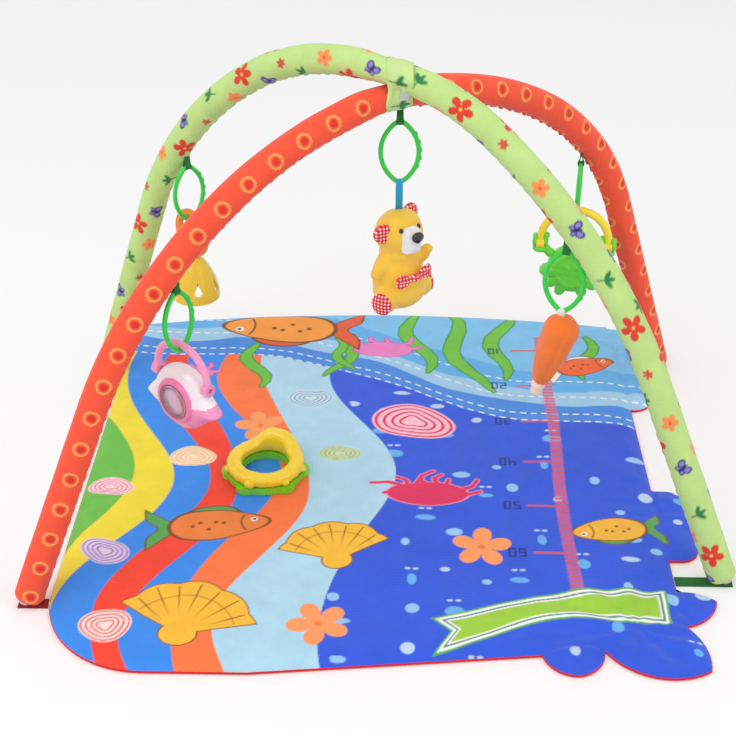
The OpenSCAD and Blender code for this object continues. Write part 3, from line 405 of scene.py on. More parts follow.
DIGIT_BARS = {"0": "abcdef", "1": "bc", "2": "abged", "3": "abgcd",
              "4": "fgbc", "5": "afgcd", "6": "afgedc", "7": "abc"}


def number(print_, x, y, centre, text, height):
    """Plain bar digits, facing the gym's back edge."""
    half = height / 2
    w = height * 0.26
    bars = {"a": ((-w, half), (w, half)), "b": ((w, half), (w, 0)), "c": ((w, 0), (w, -half)),
            "d": ((-w, -half), (w, -half)), "e": ((-w, 0), (-w, -half)), "f": ((-w, half), (-w, 0)),
            "g": ((-w, 0), (w, 0))}
    for place, digit in enumerate(text):
        shift = (place - (len(text) - 1) / 2) * height * 0.9
        for bar in DIGIT_BARS[digit]:
            (ax, ay), (bx, by) = bars[bar]
            start = (centre[0] - ax - shift, centre[1] - ay)
            end = (centre[0] - bx - shift, centre[1] - by)
            lay(print_, within(to_segment(x, y, start, end)[0] - 1.2), NAVY)


def stripe_edge(y, middle, swing):
    """Where a wavy stripe ends, across the mat, at a distance from front to back."""
    return middle + swing * np.cos((y + 50) / 285 * math.pi) + 7 * np.sin(y / 52 + middle)


def back_wave(x):
    """Where the shallow water at the back begins."""
    return 178 - 95 * np.tanh((x - 30) / 150) + 5 * np.sin(x / 38)


def mat_print(x, y):
    """The cover's printed colours: wavy stripes, deep water, shallows and sea things."""
    print_ = np.tile(linear(ROYAL), (len(x), 1))
    print_ *= (1 + 0.05 * drift(x, y, 160, 11))[:, None]
    for middle, swing, colour in STRIPES:
        lay(print_, within(x - stripe_edge(y, middle, swing)), colour)
    shore = back_wave(x) - y
    for offset, colour in SHALLOWS:
        ripple = 6 * np.sin(x / 31 + offset) if offset else 0
        lay(print_, within(shore + offset + ripple), colour)
    for offset in (2, 20, 66, 108):
        dash = np.maximum(np.abs(shore + offset) - 1.3, np.abs((x % 15) - 7.5) - 4.2)
        lay(print_, within(dash), WHITE)
    # Bubbles float all over the deep water, big ones apart and small ones in pairs.
    throws = np.random.default_rng(7)
    taken = []
    while len(taken) < BUBBLES:
        spot = throws.uniform((-60, -400), (405, 210))
        if all(math.hypot(spot[0] - other[0], spot[1] - other[1]) > BUBBLE_GAP for other in taken):
            taken.append(spot)
    deep = within(stripe_edge(y, -22, 46) - x) * within(y - back_wave(x) + 10)
    pale = (190, 214, 240)
    for k, spot in enumerate(taken):
        size = (5 + 9 * throws.random(), 4 + 6 * throws.random())
        tint = ((104, 178, 244), (150, 200, 246), pale)[k % 3]
        lay(print_, within(oval_distance(x, y, spot, size)) * deep, tint)
        if k % 3 == 0:
            for side in (-1, 1):
                lay(print_, within(oval_distance(x, y, spot + (side * 5, 19), (3.6, 2.2))) * deep, pale)
    # Weed grows in from the back edge, coral between it.
    weed, dark = (112, 196, 62), (40, 140, 62)
    for start, length, lean, sway, width in (((-205, 300), 120, 0.2, 13, 9), ((40, 395), 170, 0.15, 15, 11),
                                             ((95, 405), 230, 0.22, 18, 12), ((190, 398), 190, -0.1, 16, 11),
                                             ((-40, 330), 120, -0.3, 12, 8), ((-75, 320), 90, 0.25, 10, 7),
                                             ((320, 330), 120, -0.2, 11, 8)):
        ribbon(print_, x, y, frond(start, length, lean, sway), width, weed, dark)
    bush, bush_edge = (236, 130, 200), (200, 70, 160)
    coral(print_, x, y, (0, 290), 62, bush, bush_edge, 6)
    coral(print_, x, y, (-285, 215), 44, bush, bush_edge, 5)
    coral(print_, x, y, (62, -78), 74, (226, 40, 96), (250, 150, 170), 9)
    # Ringed stones.
    for centre, radii, turn, line, ground in (
            ((44, 92), (60, 42), -0.25, (232, 40, 96), (252, 196, 214)),
            ((-358, -70), (31, 19), -0.1, (226, 110, 150), (250, 214, 222)),
            ((-342, -205), (33, 22), -0.4, (150, 110, 190), (226, 208, 236)),
            ((-318, -338), (31, 28), 0.0, (238, 84, 84), (253, 226, 220)),
            ((-258, 0), (32, 23), 0.1, (244, 190, 140), (252, 226, 196)),
            ((-104, 148), (33, 22), 0.0, (120, 160, 200), (206, 228, 240)),
            ((-58, 12), (30, 17), 0.0, (160, 180, 90), (206, 222, 190))):
        pebble(print_, x, y, centre, radii, turn, line, ground)
    # Shells, fish and flowers.
    amber, leaf, line = (250, 190, 52), (86, 168, 84), (120, 70, 20)
    scallop(print_, x, y, (-232, -352), 92, 1.35, amber, line)
    scallop(print_, x, y, (-52, -216), 76, 1.75, amber, line)
    for centre, size, turn, colour, fin in (((-205, -148), 62, 0.15, (240, 130, 56), leaf),
                                            ((-165, 352), 86, math.pi - 0.06, (250, 156, 58), (232, 92, 48)),
                                            ((292, -150), 46, math.pi + 0.1, (248, 184, 60), leaf),
                                            ((306, 246), 44, 0.35, (244, 104, 48), (250, 236, 226))):
        plain_fish(print_, x, y, centre, size, turn, colour, fin, line)
    for centre, size in (((-172, 78), 36), ((-70, -330), 38), ((128, -186), 38)):
        petals = petal_distance(x, y, centre, size, 5, 0.62, 0.4 + centre[0])
        lay(print_, within(petals), (255, 158, 96))
        lay(print_, within(np.hypot(x - centre[0], y - centre[1]) - 4), (250, 120, 50))
    # Growth scale: a ladder of red rungs with a plain number every tenth.
    rung = (222, 84, 104)
    rail = SCALE_X + 0.012 * y + 2 * np.sin(y / 60)
    ladder = np.maximum(np.abs(x - rail) - 8, np.abs(y - 20) - 312)
    lay(print_, within(ladder) * 0.55, (200, 120, 170))
    lay(print_, within(np.maximum(ladder, np.abs((y % 8) - 4) - 2)), rung)
    for step in range(7):
        level = SCALE_TOP - SCALE_STEP * step
        tick = np.maximum(np.abs(y - level) - 2, np.abs(x - rail + 26) - 20)
        lay(print_, within(tick), rung)
        number(print_, x, y, (SCALE_X - 68, level), "%d0" % (step + 1), 14)
    # A blank pennant along the front.
    centre = PENNANT_Y + 0.2 * (x - 70) + 12 * np.sin((x - 70) / 52 - 1.1)
    tip = 62 + 0.75 * (30 - np.abs(y - centre))
    long_edge = np.abs(y - centre) - PENNANT_HALF - 3 * np.sin(x / 40)
    pennant = np.maximum(long_edge, np.maximum(tip - x, x - 345))
    for inset, colour in ((0, (96, 180, 66)), (3, WHITE), (7, (46, 132, 110)),
                          (9.5, WHITE), (12, (160, 208, 62))):
        lay(print_, within(pennant + inset), colour)
    return print_


def add_colours(obj, colours):
    """Stores a colour for each point, which the cloth's dye reads."""
    layer = obj.data.color_attributes.new("print", "FLOAT_COLOR", "POINT")
    full = np.ones((len(obj.data.vertices), 4), np.float32)
    full[:, :3] = np.clip(colours, 0, 1)
    layer.data.foreach_set("color", full.ravel())


def blotch(tree, scale, low, high, detail=4.0):
    """Noise over the piece as a number from low to high."""
    place = add_node(tree, "TexCoord", {})
    noise = add_node(tree, "TexNoise", {"Scale": scale, "Detail": detail, "Vector": place.outputs["Object"]})
    spread = add_node(tree, "MapRange", {"From Min": 0.3, "From Max": 0.7, "To Min": low, "To Max": high,
                                         "Value": noise.outputs["Fac"]})
    return spread.outputs["Result"]


def tinted(tree, colour, amount):
    """A colour, or a colour socket, made a little uneven."""
    if not isinstance(colour, bpy.types.NodeSocket):
        colour = rgba(colour)
    shade = add_node(tree, "HueSaturation", {"Color": colour,
                                             "Value": blotch(tree, 38, 1 - amount, 1 + amount)})
    return shade.outputs["Color"]


def weave_height(tree, threads):
    """Height of crossed threads, threads to the metre, with slubs."""
    place = add_node(tree, "TexCoord", {})
    total = 0.0
    for axis in ("X", "Y", "Z"):
        wave = add_node(tree, "TexWave", {"Scale": threads / 20, "Distortion": 1.5, "Detail": 1,
                                          "Vector": place.outputs["Object"]}, bands_direction=axis)
        total = add_node(tree, "Math", {0: total, 1: wave.outputs["Fac"]}, operation="ADD").outputs[0]
    return total


def add_bump(tree, shader, height, strength, distance):
    bump = add_node(tree, "Bump", {"Strength": strength, "Distance": distance, "Height": height})
    feed(tree, shader, {"Normal": bump.outputs["Normal"]})


def cloth(name, colour=None, rough=0.8, threads=900, relief=0.25):
    """Woven fabric: dyed one colour, or printed where colour is None."""
    material, tree, shader = new_material(name)
    if colour is None:
        colour = add_node(tree, "Attribute", {}, attribute_name="print").outputs["Color"]
    feed(tree, shader, {"Base Color": tinted(tree, colour, 0.05),
                        "Roughness": blotch(tree, 90, rough - 0.07, rough + 0.07),
                        "Sheen Weight": 0.15, "Specular IOR Level": 0.3})
    add_bump(tree, shader, weave_height(tree, threads), relief, 0.0004)
    return material


def finish_piece(obj, material, body, *nodes):
    """Gives a piece its material, the body it moves with and the CAD solids it stands for."""
    obj.data.materials.clear()
    obj.data.materials.append(material)
    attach(obj, body)
    if nodes:
        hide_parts(*nodes)


mat_edge = top_outline("mat_cover")


def outward(loop):
    """Level directions out of the mat, one for each point of a loop along its edge."""
    along = np.roll(loop, -1, axis=0) - np.roll(loop, 1, axis=0)
    out = np.stack([along[:, 1], -along[:, 0]], axis=1)
    out /= np.linalg.norm(out, axis=1)[:, None]
    return -out if depth_inside(*(loop[:1] + out[:1]).T, mat_edge)[0] > 0 else out


def make_cover():
    step = COVER_STEP
    near_edge = step * 0.72
    xs = np.arange(mat_edge[:, 0].min(), mat_edge[:, 0].max() + step, step)
    ys = np.arange(mat_edge[:, 1].min(), mat_edge[:, 1].max() + step, step)
    x, y = (part.ravel() for part in np.meshgrid(xs, ys))
    depth = depth_inside(x, y, mat_edge)
    faces = grid_faces(len(ys), len(xs), False)
    faces = faces[(depth[faces] > -near_edge).all(axis=1)]
    used = np.unique(faces)
    fresh = np.zeros(len(x), int)
    fresh[used] = np.arange(len(used))
    x, y, depth = x[used], y[used], depth[used]
    # Points next to the outline move onto it, so the edge runs smoothly.
    outline = evenly(mat_edge, 0.6)
    for k in np.flatnonzero(np.abs(depth) < near_edge):
        nearest = outline[np.argmin((outline[:, 0] - x[k]) ** 2 + (outline[:, 1] - y[k]) ** 2)]
        x[k], y[k], depth[k] = nearest[0], nearest[1], 0
    obj = mesh_object("printed_cover", np.stack([x, y, mat_height(x, y, depth)], axis=1), fresh[faces])
    add_colours(obj, mat_print(x, y))
    finish_piece(obj, cloth("printed_polyester", rough=0.62, threads=1200), "mat", "mat_cover", "mat_filling")


def make_backing():
    """Red cloth under the filling, turned up to the rim's seam."""
    loop = evenly(mat_edge, 5)
    rows = [(0, SEAM_Z), (0.4, 2.6), (1.6, 1.0), (4, 0.3), (9, 0.15)]
    points = [(*(spot - out * inset), z) for inset, z in rows for spot, out in zip(loop, outward(loop))]
    faces = [list(face) for face in grid_faces(len(rows), len(loop), True)]
    faces.append([(len(rows) - 1) * len(loop) + k for k in range(len(loop))])
    obj = mesh_object("red_backing", points, faces)
    finish_piece(obj, cloth("red_polyester", (214, 30, 34), threads=1000), "mat", "mat_backing")


def make_binding():
    """Red bias tape folded over the rim, pulled in a little at every stitch."""
    loop = evenly(mat_edge, 2.5)
    sides = 10
    middle_z = 2.7
    turn = np.arange(sides) * 2 * math.pi / sides
    ripple = 1 + 0.07 * np.sin(np.arange(len(loop)) * 2.1)
    points = []
    for spot, out, size in zip(loop, outward(loop), ripple):
        for a in turn:
            reach = 1.75 * math.cos(a) * size - 1.0
            points.append((*(spot + out * reach), middle_z + 2.1 * math.sin(a) * size))
    faces = hoop_faces(len(loop), sides)
    obj = mesh_object("edge_binding", points, faces)
    finish_piece(obj, cloth("red_bias_tape", (226, 32, 36), threads=1400), "mat", "mat_binding")


make_cover()
make_backing()
make_binding()

# ---------------------------------------------------------------- arches
# Two elastic rods of hollow plastic tube in padded fabric sleeves. Each sleeve is
# sewn closed along the inside of its bend, where the seam gathers the cloth.
ORANGE_RED = (252, 86, 56)
SPRING_GREEN = (194, 225, 138)
RING_ROWS, RING_PITCH = 3, 40
SPRIG_PITCH = 31
FLOWERS = {0: (16, 0.72, (226, 62, 44), (250, 214, 90)), 3: (11, 0.5, (250, 150, 84), (232, 84, 50))}
foot_low, foot_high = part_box("foot_sockets")
SOCKET_R = 6
LEFT_X = foot_low[0] / MM + SOCKET_R
RIGHT_X = foot_high[0] / MM - SOCKET_R
FOOT_Z = 4.2
SLEEVE_R = 18
FRONT_LEAN, BACK_LEAN = math.radians(65), math.radians(69)


class Arch:
    """Centre line of one arch: straight leg, shoulder arc, crown arc, shoulder arc, straight leg."""

    def __init__(self, start, end, top, slope, crown_r, extra):
        self.start = np.array(start, float)
        across = np.array(end, float) - self.start
        span = float(np.hypot(*across))
        self.way = across / span
        slope = math.radians(slope)
        height = top - crown_r * (1 - math.cos(slope))

        def ratio(lean):
            return (math.sin(lean) - math.sin(slope)) / (math.cos(slope) - math.cos(lean))

        front, back = ratio(FRONT_LEAN), ratio(BACK_LEAN)
        rest = span - 2 * crown_r * math.sin(slope) - extra * math.cos(BACK_LEAN) - height * (front + back)
        share = (math.cos(FRONT_LEAN) + math.cos(BACK_LEAN)
                 - front * math.sin(FRONT_LEAN) - back * math.sin(BACK_LEAN))
        leg = (rest + back * extra * math.sin(BACK_LEAN)) / share
        front_r = (height - leg * math.sin(FRONT_LEAN)) / (math.cos(slope) - math.cos(FRONT_LEAN))
        back_r = (height - (leg + extra) * math.sin(BACK_LEAN)) / (math.cos(slope) - math.cos(BACK_LEAN))
        self.bends = [(leg, FRONT_LEAN, FRONT_LEAN),
                      (front_r * (FRONT_LEAN - slope), FRONT_LEAN, slope),
                      (crown_r * 2 * slope, slope, -slope),
                      (back_r * (BACK_LEAN - slope), -slope, -BACK_LEAN),
                      (leg + extra, -BACK_LEAN, -BACK_LEAN)]

    def line(self, step):
        """Points, slopes and distances along the centre line, from the front foot to the back foot."""
        length = sum(bend[0] for bend in self.bends)
        marks = np.linspace(0, length, int(length / step))
        slopes = np.zeros(len(marks))
        done = 0
        for part, first, last in self.bends:
            inside = (marks >= done - 1e-6) & (marks <= done + part + 1e-6)
            slopes[inside] = first + (last - first) * (marks[inside] - done) / part
            done += part
        middle = (slopes[1:] + slopes[:-1]) / 2
        gaps = np.diff(marks)
        along = np.concatenate([[0], np.cumsum(gaps * np.cos(middle))])
        high = np.concatenate([[0], np.cumsum(gaps * np.sin(middle))])
        keep = high > FOOT_Z + 2
        return along[keep], high[keep], slopes[keep], marks[keep]


green_arch = Arch(start=(RIGHT_X, -237), end=(LEFT_X + 4, 235), top=568, slope=34, crown_r=299, extra=51)
orange_arch = Arch(start=(LEFT_X, -292), end=(RIGHT_X - 4, 270), top=529.76, slope=30, crown_r=420, extra=69)
# Where the arches cross, the strap presses the two paddings together.
ways = np.stack([green_arch.way, -orange_arch.way], axis=1)
ahead = np.linalg.solve(ways, orange_arch.start - green_arch.start)[0]
CROSS_X, CROSS_Y = green_arch.start + green_arch.way * ahead
PRESS = 3.6


def push_down(arch):
    """How far the strap moves an arch down where the two cross; the lower one moves up."""
    return PRESS if arch is green_arch else -PRESS


def pressed(arch, along, width):
    """How hard the strap presses a sleeve, 1 at the crossing and falling away on both sides."""
    middle = (CROSS_X - arch.start[0]) / arch.way[0]
    return np.exp(-((along - middle) / width) ** 2)


def sleeve_points(arch, step, sides, swell):
    """Rings of points round the centre line. Turn 0 faces out of the bend, a half turn is the seam."""
    along, high, slopes, marks = arch.line(step)
    high = high - push_down(arch) * pressed(arch, along, 70)
    turn = np.arange(sides) * 2 * math.pi / sides
    travel, angle = np.meshgrid(marks, turn, indexing="ij")
    reach = SLEEVE_R + swell(travel, angle)
    # The closed ends round over onto the floor side.
    last = np.minimum(travel - marks[0], marks[-1] - travel)
    reach = reach * (1 - 0.14 * (1 - np.clip(last / 7, 0, 1)) ** 2)
    squeeze = pressed(arch, along, 30)[:, None]
    up = reach * np.cos(angle) * (1 - PRESS / SLEEVE_R * squeeze)
    side = reach * np.sin(angle) * (1 + 0.06 * squeeze)
    plan_side = np.array([arch.way[1], -arch.way[0]])
    out_along = -np.sin(slopes)[:, None] * up + along[:, None]
    points = np.stack([arch.start[0] + arch.way[0] * out_along + plan_side[0] * side,
                       arch.start[1] + arch.way[1] * out_along + plan_side[1] * side,
                       np.maximum(high[:, None] + np.cos(slopes)[:, None] * up, FOOT_Z)], axis=-1)
    return points.reshape(-1, 3), travel.ravel(), angle.ravel(), len(marks)


def gathers(depth, pitch, seed):
    """Swell of a sleeve: even padding, with tucks and a frilled ridge along the seam."""
    def swell(travel, angle):
        off_seam = np.abs(angle - math.pi)
        waves = travel / pitch * 2 * math.pi
        frill = 0.6 * np.sin(waves + 2 * drift(travel, travel * 0, 70, seed))
        frill += 0.4 * np.sin(waves * 1.73 + seed)
        ridge = np.exp(-(off_seam / 0.16) ** 2)
        tucks = np.exp(-(off_seam / 0.75) ** 2)
        padding = 0.35 * drift(travel, angle * SLEEVE_R, 34, seed + 1)
        frills = depth * ridge * (1.0 + 0.7 * frill) + 0.55 * depth * tucks * frill * (1 - ridge)
        return frills - 0.5 * tucks + padding
    return swell


def around(angle, middle):
    return (angle - middle + math.pi) % (2 * math.pi) - math.pi


def orange_print(travel, angle):
    """Vermilion ground with rows of small rings."""
    print_ = np.tile(linear(ORANGE_RED), (len(travel), 1))
    for row in range(RING_ROWS):
        middle = math.radians(66 + 360 / RING_ROWS * row)
        u = (travel + (RING_PITCH / 2) * (row % 2)) % RING_PITCH - RING_PITCH / 2
        w = around(angle, middle) * SLEEVE_R
        reach = np.hypot(u / 8.4, w / 9.4)
        for edge, colour in ((1.08, (255, 178, 92)), (0.84, ORANGE_RED), (0.56, (226, 50, 36))):
            lay(print_, np.clip((edge - reach) / 0.1, 0, 1), colour)
    return print_


def sprig(print_, u, w, kind):
    """One small printed motif round its own middle: a flower, leaf sprig or butterfly."""
    if kind in FLOWERS:
        size, depth, colour, heart = FLOWERS[kind]
        lay(print_, within(petal_distance(u, w, (0, 0), size, 5, depth, 0.5)), colour)
        lay(print_, within(np.hypot(u, w) - 2), heart)
    elif kind == 1:
        for lean in (-0.9, 0, 0.9):
            leaf = oval_distance(u, w, (6 * math.cos(lean), 6 * math.sin(lean)), (6.2, 2.6), lean)
            lay(print_, within(leaf), (38, 134, 70))
        lay(print_, within(to_segment(u, w, (-9, 1), (3, 0))[0] - 0.9), (38, 134, 70))
    elif kind == 2:
        for side in (-1, 1):
            for size, colour in ((1.0, (44, 42, 120)), (0.6, (148, 134, 214))):
                wing = oval_distance(u, w, (3, side * 5.2), (6.4 * size, 4.6 * size), side * 0.5)
                hind = oval_distance(u, w, (-4.2, side * 3.6), (4.0 * size, 3.0 * size), -side * 0.4)
                lay(print_, within(np.minimum(wing, hind)), colour)
        lay(print_, within(to_segment(u, w, (-6, 0), (6, 0))[0] - 1.1), (34, 30, 90))
    else:
        lay(print_, within(petal_distance(u, w, (0, 0), 6.5, 6, 0.6)), (214, 84, 60))


def green_print(travel, angle):
    """Light green ground with scattered flowers, leaves and butterflies."""
    print_ = np.tile(linear(SPRING_GREEN), (len(travel), 1))
    throws = np.random.default_rng(21)
    for k in range(int(travel.max() / SPRIG_PITCH)):
        for lane in range(2):
            place = (k + 0.5 * lane) * SPRIG_PITCH + throws.uniform(-4, 4)
            middle = math.radians(35 + 180 * lane + 78 * (k % 2) + throws.uniform(-12, 12))
            near = np.abs(travel - place) < 20
            u = travel[near] - place
            w = around(angle[near], middle) * SLEEVE_R
            c, s = math.cos(throws.uniform(0, 6.3)), math.sin(throws.uniform(0, 6.3))
            part = print_[near]
            size = math.hypot(c, s)
            sprig(part, (u * c + w * s) / size, (w * c - u * s) / size, (k * 3 + lane * 2) % 5)
            print_[near] = part
    return print_


def make_sleeve(name, arch, swell, paint, node):
    step, sides = ((1.7, 72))
    points, travel, angle, rows = sleeve_points(arch, step, sides, swell)
    faces = [list(face) for face in grid_faces(rows, sides, True)]
    faces.append(list(range(sides - 1, -1, -1)))
    faces.append([(rows - 1) * sides + k for k in range(sides)])
    obj = mesh_object(name, points, faces)
    add_colours(obj, paint(travel, angle))
    finish_piece(obj, cloth(name + "_cloth", rough=0.74, threads=1100, relief=0.3), "arches", node)


make_sleeve("green_arch_sleeve", green_arch, gathers(depth=1.4, pitch=19, seed=5),
            green_print, "green_sleeve")
make_sleeve("orange_arch_sleeve", orange_arch, gathers(depth=2.2, pitch=15, seed=9),
            orange_print, "orange_sleeve")


def plastic(name, colour, rough=0.32, clear=0.0, coat=0.25, glow_through=0.0):
    """Moulded plastic with faint mould texture; clear lets light pass."""
    material, tree, shader = new_material(name)
    feed(tree, shader, {"Base Color": tinted(tree, colour, 0.025),
                        "Roughness": blotch(tree, 60, rough - 0.05, rough + 0.06),
                        "Coat Weight": coat, "Coat Roughness": 0.2, "Transmission Weight": clear,
                        "Subsurface Weight": glow_through, "Subsurface Scale": 0.01})
    add_bump(tree, shader, blotch(tree, 420, 0, 1, 2), 0.06, 0.0003)
    return material


def metal(name, colour):
    material, tree, shader = new_material(name)
    feed(tree, shader, {"Base Color": tinted(tree, colour, 0.04),
                        "Roughness": blotch(tree, 200, 0.27, 0.45), "Metallic": 1.0})
    return material


def refinish(material, *nodes):
    """Gives CAD solids that keep their shape a new material."""
    for node in nodes:
        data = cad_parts[node].data
        data.materials.clear()
        data.materials.append(material)


# The rods inside, and the press studs and webbing tabs that hold their feet.
for side in ("green", "orange"):
    refinish(plastic(side + "_rod_plastic", (236, 236, 232)),
             side + "_leg_rods", side + "_shoulder_rods", side + "_crown_rod")
    refinish(plastic(side + "_joint_plastic", (200, 202, 204), rough=0.4),
             side + "_couplers", side + "_foot_caps")
refinish(metal("stud_metal", (205, 206, 208)), "tab_studs", "foot_sockets")
# The tabs are red and green webbing. Their colours are darkened with painted shade for the shadow they sit in
# under the sleeve feet.
refinish(cloth("red_webbing_painted_shade", (150, 26, 28), threads=700, relief=0.5), "tab_front_left", "tab_back_left")
refinish(cloth("green_webbing_painted_shade", (24, 104, 40), threads=700, relief=0.5), "tab_front_right", "tab_back_right")

# ---------------------------------------------------------------- crossing strap
# A wide band of the green print is drawn tight round both sleeves where they cross,
# in upright creases, and closed at the front by a pale hook-and-loop patch.
STRAP_X = CROSS_X + 11
STRAP_HALF = 15.5
STRAP_OVER = 2.4
STRAP_SIDES, STRAP_COLUMNS = 150, 27
STRAP_GREEN = (200, 228, 148)


def crossing_height(arch):
    """Height and sideways run of an arch where the two cross."""
    along, high = arch.line(1)[:2]
    x = arch.start[0] + arch.way[0] * along
    order = np.argsort(x)
    return float(np.interp(CROSS_X, x[order], high[order])) - push_down(arch), arch.way[1] / arch.way[0]


def strap_ring(x):
    """The tight loop round both sleeves in the upright plane at x."""
    ovals = []
    for arch in (green_arch, orange_arch):
        high, run = crossing_height(arch)
        wide = (SLEEVE_R + STRAP_OVER) * math.hypot(1, run)
        ovals.append((CROSS_Y + run * (x - CROSS_X), high, wide, SLEEVE_R - PRESS + STRAP_OVER))
    ring = []
    for turn in math.pi / 2 + np.arange(0, 2 * math.pi, math.pi / 36):
        c, s = math.cos(turn), math.sin(turn)
        cy, cz, a, b = max(ovals, key=lambda o: o[0] * c + o[1] * s + math.hypot(o[2] * c, o[3] * s))
        size = math.hypot(a * c, b * s)
        ring.append((cy + a * a * c / size, cz + b * b * s / size))
    return evenly(np.array(ring), 1.0)


def thicken(obj, thickness, offset):
    """Gives a cloth band its thickness in millimetres, round its middle or to one side."""
    solid = obj.modifiers.new("thickness", "SOLIDIFY")
    solid.thickness = thickness * MM
    solid.offset = offset


def make_strap():
    columns = np.linspace(-STRAP_HALF, STRAP_HALF, STRAP_COLUMNS)
    points = []
    for x in columns:
        ring = strap_ring(STRAP_X + x)
        ring = ring[np.linspace(0, len(ring), STRAP_SIDES, endpoint=False).astype(int)]
        middle = ring.mean(axis=0)
        off = ring - middle
        reach = np.linalg.norm(off, axis=1)
        turn = np.arctan2(off[:, 1], off[:, 0])
        waist = np.exp(-(off[:, 1] / 9) ** 2)
        crease = 0.75 * np.sin(x / 2.4 + 1.2 * np.sin(turn * 2)) + 0.3 * np.sin(x / 1.4 + turn)
        ease = -1.6 * (abs(x) / STRAP_HALF) ** 6
        ring = middle + off * (1 + (crease * (0.5 + 0.7 * waist) - 2.2 * waist + ease) / reach)[:, None]
        narrow = 1 - 0.13 * waist
        points += [(STRAP_X + x * n, y, z) for (y, z), n in zip(ring, narrow)]
    obj = mesh_object("crossing_wrap", points, grid_faces(STRAP_COLUMNS, STRAP_SIDES, True))
    x, y, z = np.array(points).T
    throws = np.random.default_rng(4)
    print_ = np.tile(linear(STRAP_GREEN), (len(x), 1))
    for k in range(4):
        sprig_z = 524 + 17 * k + throws.uniform(-4, 4)
        near = (np.abs(z - sprig_z) < 16) & (y * (1 if k % 2 else -1) > 0)
        part = print_[near]
        sprig(part, x[near] - STRAP_X - throws.uniform(-14, 14), z[near] - sprig_z, 4 if k == 1 else 1)
        print_[near] = part
    add_colours(obj, print_)
    thicken(obj, 1.2, -1)
    finish_piece(obj, cloth("wrap_cloth", rough=0.72, threads=1100), "arches", "crossing_strap")


def make_patch():
    low, high = (np.array(corner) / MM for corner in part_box("strap_patch"))
    rows, columns = 14, 9
    points = []
    for v in np.linspace(0, 1, rows):
        for u in np.linspace(0, 1, columns):
            x = low[0] + 9 + (high[0] - low[0]) * (0.1 + 0.8 * u) + 3 * (v - 0.5)
            z = low[2] - 1 + (high[2] - low[2] + 2) * v
            ring = strap_ring(x)
            front = ring[ring[:, 0] < ring[:, 0].mean()]
            front = front[np.argsort(front[:, 1])]
            y = np.interp(z, front[:, 1], front[:, 0])
            points.append((x, y - 0.6 - 0.5 * math.sin(3.1 * u) * math.sin(3.1 * v), z))
    obj = mesh_object("wrap_patch", points, grid_faces(rows, columns, False))
    thicken(obj, 1.0, -1)
    fastener = cloth("loop_fastener", (214, 218, 214), rough=0.9, threads=500, relief=0.6)
    finish_piece(obj, fastener, "arches", "strap_patch")


make_strap()
make_patch()

# ---------------------------------------------------------------- links and tapes
# Toys hang on thin green plastic links, each an oval of round wire with a row of grip
# teeth down one side. A dark green webbing tape sewn under the sleeve holds each link.
TOYS = {"centre": 0, "front_left": 56, "front_right": -20, "back_left": 44, "back_right": 80}
WIRE_R = 3
LINK_HALF_H, LINK_HALF_W, LINK_END_R = 38.5, 23, 8.5
TAPE_HALF = 4.4
TOOTH_PITCH = 10


def link_top(place):
    """The middle of a link's wire at its top, in millimetres."""
    low, high = (np.array(corner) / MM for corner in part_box("link_" + place))
    return np.array([(low[0] + high[0]) / 2, (low[1] + high[1]) / 2, high[2] - WIRE_R])


def link_foot(place):
    return link_top(place) - np.array([0, 0, 2 * LINK_HALF_H])


def oval_line(step):
    """The oval's middle line in its own plane, evenly stepped from the top round clockwise."""
    end_z = LINK_HALF_H - LINK_END_R
    back = (end_z ** 2 - (LINK_HALF_W - LINK_END_R) ** 2) / (2 * (LINK_HALF_W - LINK_END_R))
    side_r = LINK_HALF_W + back
    corner = math.atan2(end_z, back)
    parts = []
    for middle, radius, first, last in (((0, end_z), LINK_END_R, math.pi / 2, corner),
                                        ((-back, 0), side_r, corner, -corner),
                                        ((0, -end_z), LINK_END_R, -corner, -math.pi + corner),
                                        ((back, 0), side_r, math.pi + corner, math.pi - corner),
                                        ((0, end_z), LINK_END_R, math.pi - corner, math.pi / 2)):
        turns = np.linspace(first, last, 60)
        parts.append(np.stack([middle[0] + radius * np.cos(turns),
                               middle[1] + radius * np.sin(turns)], axis=1))
    return evenly(np.vstack(parts), step)


def placed(points, spot, heading, tilt=0.0):
    """Points drawn round the origin, tilted, turned to a heading and moved to a spot."""
    turn = Matrix.Rotation(math.radians(heading), 3, "Z") @ Matrix.Rotation(math.radians(tilt), 3, "Y")
    return np.asarray(points, float) @ np.array(turn).T + np.asarray(spot, float)


link_plastic = plastic("link_plastic", (36, 214, 62), rough=0.28, coat=0.4, glow_through=0.15)
tape_cloth = cloth("tape_webbing", (30, 120, 52), threads=650, relief=0.5)


def make_link(place):
    line = oval_line(0.9)
    along = np.roll(line, -1, axis=0) - np.roll(line, 1, axis=0)
    out = np.stack([-along[:, 1], along[:, 0]], axis=1)
    out /= np.linalg.norm(out, axis=1)[:, None]
    out *= np.sign((out * line).sum(axis=1))[:, None]
    # Grip teeth: short swellings down the right side of the upper half.
    toothed = (line[:, 0] > 8) & (np.abs(line[:, 1]) < 25)
    teeth = np.where(toothed, np.clip(np.sin(line[:, 1] / TOOTH_PITCH * 2 * math.pi) * 1.6, 0, 1) * 1.3, 0)
    sides = 14
    points = []
    for spot, normal, tooth in zip(line, out, teeth):
        for k in range(sides):
            turn = 2 * math.pi * k / sides
            reach = WIRE_R * math.cos(turn) + tooth * (1 + math.cos(turn)) / 2
            flat = spot + normal * reach
            points.append((flat[0], WIRE_R * math.sin(turn), flat[1] - LINK_HALF_H))
    faces = hoop_faces(len(line), sides)
    obj = mesh_object("snap_link_" + place, placed(points, link_top(place), TOYS[place]), faces)
    finish_piece(obj, link_plastic, "link_" + place + "_body", "link_" + place)


